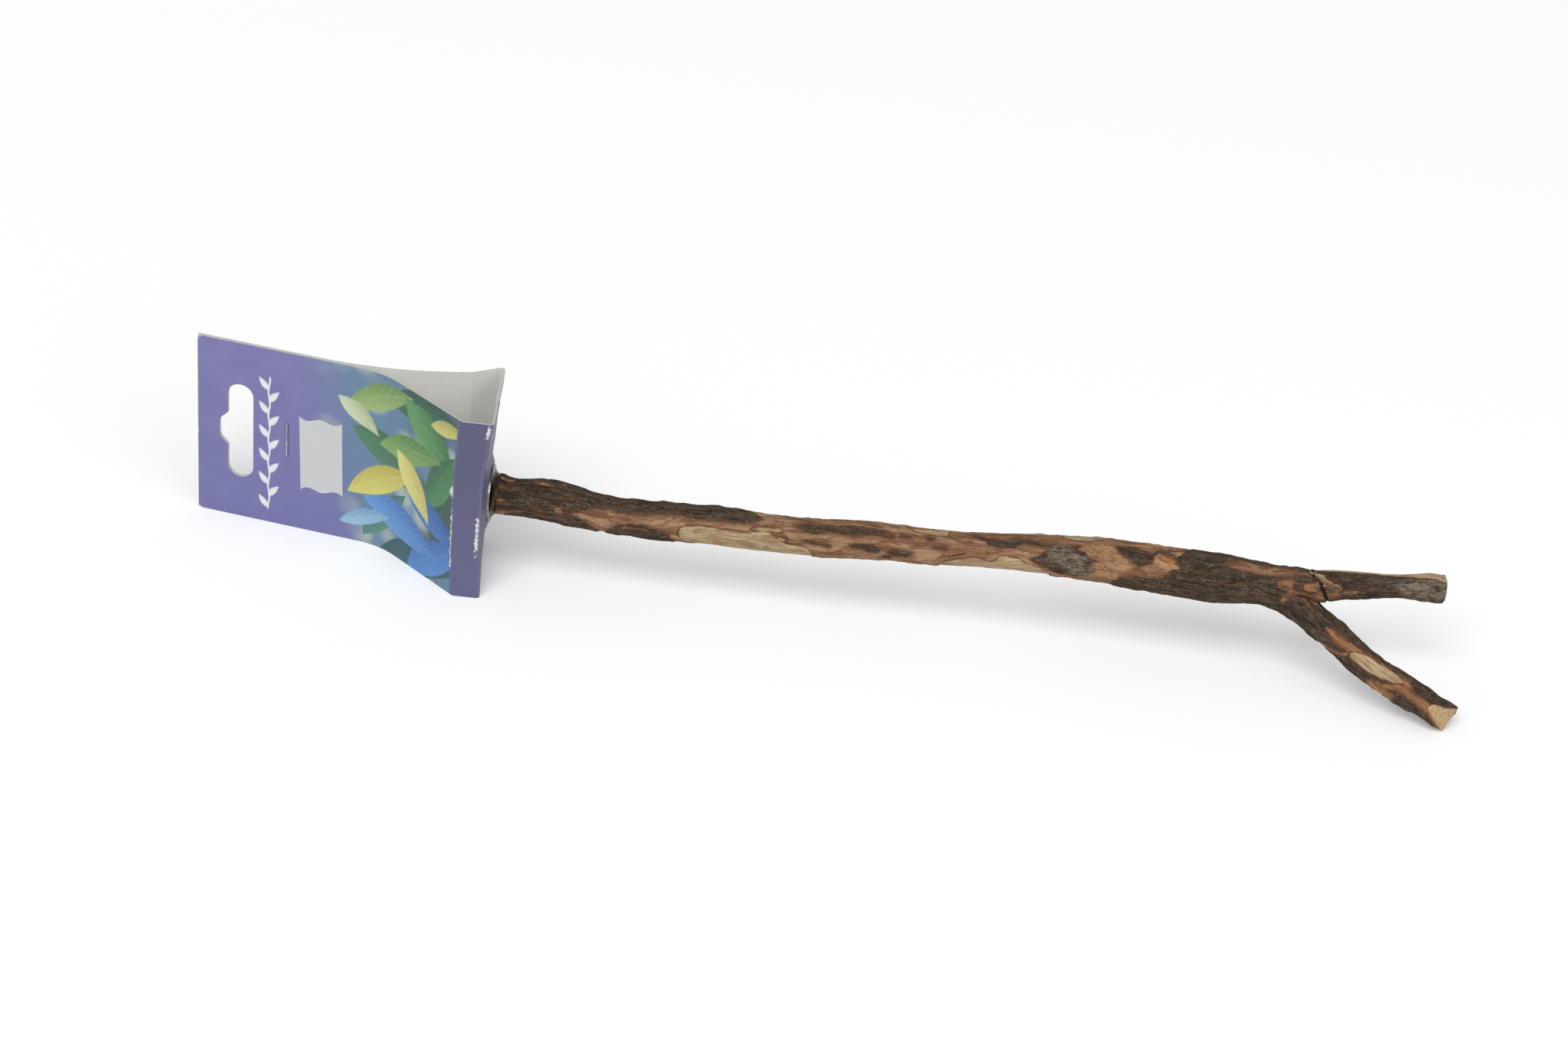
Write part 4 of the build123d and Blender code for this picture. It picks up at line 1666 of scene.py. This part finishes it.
@dataclass(frozen=True)
class ZincFinish:
    """Bright zinc plate with turning marks round the stud's axis, a little tarnish and, where given, a dark
    brown painted reflection inside the rim.
    """

    name: str = "zinc_plate"
    bright: Rgba = paint(172, 170, 166)
    dull: Rgba = paint(122, 118, 111)
    warm: Rgba = paint(136, 118, 92)
    turned: bool = True
    # dark brown painted reflection of the bark inside the rim, where given
    shaded: Optional[Rgba] = None
    rim: float = 8.0
    rim_edge: float = 0.4

    def material(self) -> bpy.types.Material:
        """Writes the material."""
        book = Recipe(self.name)
        place = book.place()
        cloud = book.noise(place, 0.55, 3.0, 0.6)
        grit = book.noise(place, 5.0, 3.0, 0.6)
        reach = place.off_axis()
        marks = (reach * 24.0 + (cloud - 0.5) * 2.0).wave() * 0.5 + 0.5 if self.turned else grit
        colour = book.mix(cloud.rise(0.35, 0.65) * 0.8, self.bright, self.dull)
        colour = book.mix(grit.rise(0.60, 0.75) * 0.4, colour, self.warm)
        # painted reflection: dark brown inside the rim stands in for the bark seen in the washer
        if self.shaded:
            inner = reach.rise(self.rim, self.rim - self.rim_edge)
            colour = book.mix(inner * (0.8 + cloud * 0.3), colour, self.shaded)
        return book.surface({
            "Base Color": colour,
            "Metallic": 1.0,
            "Roughness": 0.20 + cloud * 0.12 + grit * 0.06,
            "Normal": book.bump(marks * 0.35 + grit * 0.65, 0.10, 0.0001),
        })


@dataclass
class Stud:
    """The hanger bolt: machine thread, shank and wood screw, with both threads cut.

    A thread's form is where its flank starts and how steeply the flank runs, in depths to half a pitch.
    """

    free_end: float = -18.0
    thread_radius: float = 2.5
    thread_pitch: float = 0.8
    thread_depth: float = 0.46
    thread_form: tuple[float, float] = (1.25, 1.5)
    thread_runout: float = 0.6
    chamfer: float = 0.7
    wood_face: float = 2.4
    shank_radius: float = 2.15
    screw_start: float = 5.0
    screw_end: float = 22.0
    screw_radius: float = 2.4
    screw_pitch: float = 2.0
    screw_depth: float = 0.55
    screw_form: tuple[float, float] = (1.6, 2.6)
    point: float = 4.5
    point_least: float = 0.02
    sides: int = 40
    spacing: float = 0.1
    smooth_angle: float = 40.0

    def build(self) -> bpy.types.Object:
        """Makes the stud.

        Returns:
            The finished piece.
        """
        piece = self._blank()
        self._cut(piece)
        Shop.hold(piece)
        bpy.ops.object.shade_smooth_by_angle(angle=math.radians(self.smooth_angle))
        Shop.dress(piece, ZincFinish("zinc_stud", turned=False).material())
        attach(piece, "perch")
        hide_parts("hanger_bolt")
        return piece

    def _blank(self) -> bpy.types.Object:
        """Makes a round bar with rings close enough for a thread.

        Returns:
            The bar.
        """
        length = self.screw_end + self.point - self.free_end
        Shop.deselect()
        bpy.ops.mesh.primitive_cylinder_add(
            vertices=self.sides,
            radius=self.thread_radius * MM,
            depth=length * MM,
            location=((self.free_end + length / 2) * MM, 0, 0),
            rotation=(0, math.pi / 2, 0),
        )
        piece = bpy.context.object
        piece.name = piece.data.name = "threaded_stud"
        bpy.ops.object.transform_apply(location=True, rotation=True, scale=True)
        bpy.ops.object.mode_set(mode="EDIT")
        bpy.ops.mesh.select_mode(type="EDGE")
        bpy.ops.mesh.select_all(action="DESELECT")
        bpy.ops.object.mode_set(mode="OBJECT")
        for edge in piece.data.edges:
            ends = [piece.data.vertices[point].co for point in edge.vertices]
            edge.select = abs(ends[0].x - ends[1].x) > MM
        bpy.ops.object.mode_set(mode="EDIT")
        bpy.ops.mesh.subdivide_edgering(number_cuts=int(length / self.spacing) - 1, interpolation="LINEAR")
        bpy.ops.object.mode_set(mode="OBJECT")
        return piece

    @staticmethod
    def _thread(
        points: np.ndarray, pitch: float, radius: float, depth: float, form: tuple[float, float]
    ) -> np.ndarray:
        """Works out a right-hand thread.

        Args:
            points: points in mm.
            pitch: the thread's pitch, mm.
            radius: its outer radius, mm.
            depth: its depth, mm.
            form: where its flank starts and how steeply it runs.

        Returns:
            The radius at each point, mm.
        """
        angle = np.arctan2(points[:, 2], points[:, 1]) / (2 * math.pi)
        crest = np.abs((points[:, 0] / pitch - angle) % 1.0 - 0.5) * 2
        return radius - depth * np.clip(form[0] - crest * form[1], 0, 1)

    def _cut(self, piece: bpy.types.Object) -> None:
        """Cuts the threads, the shank and the point into the blank."""
        points = Shop.points(piece)
        along = points[:, 0]
        machine = self._thread(
            points, self.thread_pitch, self.thread_radius, self.thread_depth, self.thread_form
        )
        screw = self._thread(points, self.screw_pitch, self.screw_radius, self.screw_depth, self.screw_form)
        radius = np.where(along < self.wood_face - self.thread_runout, machine, self.shank_radius)
        radius = np.where(along > self.screw_start, screw, radius)
        radius = np.minimum(radius, self.thread_radius - self.chamfer + (along - self.free_end))
        taper = np.maximum((self.screw_end + self.point - along) / self.point, self.point_least)
        radius = np.minimum(radius, taper * self.screw_radius)
        reach = np.maximum(np.hypot(points[:, 1], points[:, 2]), TINY)
        points[:, 1:] *= (radius / reach)[:, None]
        Shop.set_points(piece, points)


@dataclass(frozen=True)
class LabelFinish:
    """Blank matt label paper, a little uneven."""

    pale: Rgba = paint(199, 200, 202)
    dark: Rgba = paint(188, 189, 192)

    def material(self) -> bpy.types.Material:
        """Writes the material."""
        book = Recipe("label_paper")
        place = book.place()
        fibre = book.noise(place, 2.4, 4.0, 0.65)
        cloud = book.noise(place, 0.22, 2.0)
        colour = book.mix(cloud * 0.3 + (fibre - 0.5) * 0.4, self.pale, self.dark)
        return book.surface({
            "Base Color": colour,
            "Roughness": 0.66 + (fibre - 0.5) * 0.12,
            "Specular IOR Level": 0.25,
            "Normal": book.bump(fibre, 0.10, 0.00008),
        })


@dataclass
class Hardware:
    """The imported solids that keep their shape: washers, wing nut, staple and price label."""

    zinc: tuple[str, ...] = ("nut_washer", "wing_nut")

    def dress(self) -> list[bpy.types.Object]:
        """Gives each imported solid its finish.

        Returns:
            The dressed objects.
        """
        plate = ZincFinish().material()
        wire = ZincFinish(
            "staple_wire", paint(188, 188, 190), paint(132, 132, 136), paint(140, 134, 126), turned=False
        )
        finishes = {name: plate for name in self.zinc}
        # the branch washer carries a dark brown painted reflection of the bark inside its rim
        finishes["branch_washer"] = ZincFinish("zinc_tarnished", shaded=paint(60, 47, 38)).material()
        finishes["staple"] = wire.material()
        finishes["price_label"] = LabelFinish().material()
        for name, material in finishes.items():
            Shop.dress(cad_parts[name], material)
        return [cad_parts[name] for name in finishes]


@dataclass(frozen=True)
class Lamp:
    """One soft box: where it stands, what it looks at, its size in metres and its power in watts."""

    name: str
    place: tuple[float, float, float]
    target: tuple[float, float, float]
    size: float
    power: float


@dataclass
class Studio:
    """Pale floor, soft light and the camera."""

    floor_height: float = -28.12
    floor_size: float = 8.0
    floor_colour: Rgba = paint(244, 244, 244)
    floor_lift: float = 0.13
    world_level: float = 0.46
    right: tuple[float, float, float] = (0.99380, 0.06832, 0.08767)
    down: tuple[float, float, float] = (0.11078, -0.54468, -0.83129)
    back: tuple[float, float, float] = (0.00905, -0.83585, 0.54888)
    stand: tuple[float, float, float] = (0.09504, -0.83472, 0.54918)
    lens: float = 78.75
    sensor: float = 36.0
    clip: tuple[float, float] = (0.01, 50.0)
    lamps: tuple[Lamp, ...] = (
        Lamp("key_box", (-1.2, -4.0, 5.6), (0.08, 0.0, 0.0), 4.0, 290.0),
        Lamp("fill_box", (3.6, -3.2, 3.2), (0.1, 0.0, 0.0), 4.0, 60.0),
    )

    def build(self) -> None:
        """Sets up floor, light and camera."""
        self._floor()
        self._light()
        self._camera()
        bpy.context.scene.view_settings.view_transform = "Standard"

    def _floor(self) -> None:
        """Lays the floor under the card's lower edge."""
        Shop.deselect()
        bpy.ops.mesh.primitive_plane_add(size=self.floor_size, location=(0, 0, self.floor_height * MM))
        floor = bpy.context.object
        floor.name = "studio_floor"
        bpy.ops.object.transform_apply(location=True, rotation=True, scale=True)
        book = Recipe("pale_floor")
        rays = [book.node("ShaderNodeLightPath", None, None, name)
                for name in ("Is Camera Ray", "Is Glossy Ray", "Is Transmission Ray")]
        seen = rays[0].most(rays[1]).most(rays[2])
        lift = book.mix(seen, (0.0, 0.0, 0.0, 1.0), (self.floor_lift,) * 3 + (1.0,))
        Shop.dress(floor, book.surface({
            "Base Color": self.floor_colour,
            "Roughness": 0.9,
            "Specular IOR Level": 0.1,
            "Emission Color": lift,
            "Emission Strength": 1.0,
        }))

    def _light(self) -> None:
        """Lights the scene from soft boxes and an even sky."""
        world = bpy.data.worlds.new("studio_sky")
        world.use_nodes = True
        sky = next(node for node in world.node_tree.nodes if node.type == "BACKGROUND")
        sky.inputs["Color"].default_value = (1.0, 1.0, 1.0, 1.0)
        sky.inputs["Strength"].default_value = self.world_level
        bpy.context.scene.world = world
        for lamp in self.lamps:
            Shop.deselect()
            heading = Vector(lamp.target) - Vector(lamp.place)
            turn = heading.to_track_quat("-Z", "Y").to_euler()
            bpy.ops.object.light_add(type="AREA", location=lamp.place, rotation=turn)
            light = bpy.context.object
            light.name = lamp.name
            light.data.shape = "SQUARE"
            light.data.size = lamp.size
            light.data.energy = lamp.power

    def _camera(self) -> None:
        """Puts the camera where the photograph was taken."""
        turn = Matrix((self.right, [-part for part in self.down], self.back)).transposed()
        Shop.deselect()
        bpy.ops.object.camera_add(location=self.stand, rotation=turn.to_euler())
        camera = bpy.context.object
        camera.name = "camera"
        camera.data.sensor_width = self.sensor
        camera.data.sensor_fit = "HORIZONTAL"
        camera.data.lens = self.lens
        camera.data.clip_start, camera.data.clip_end = self.clip
        bpy.context.scene.camera = camera


def main() -> None:
    """Builds each piece in order and notes its face count."""
    logging.basicConfig(level=logging.INFO, format="%(name)s: %(message)s")
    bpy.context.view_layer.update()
    for maker in (Branch(), HeaderCard(), Stud()):
        piece = maker.build()
        LOG.info("%s: %d faces", piece.name, len(piece.data.polygons))
    for piece in Hardware().dress():
        LOG.info("%s: dressed", piece.name)
    Studio().build()


if __name__ == "__main__":
    main()
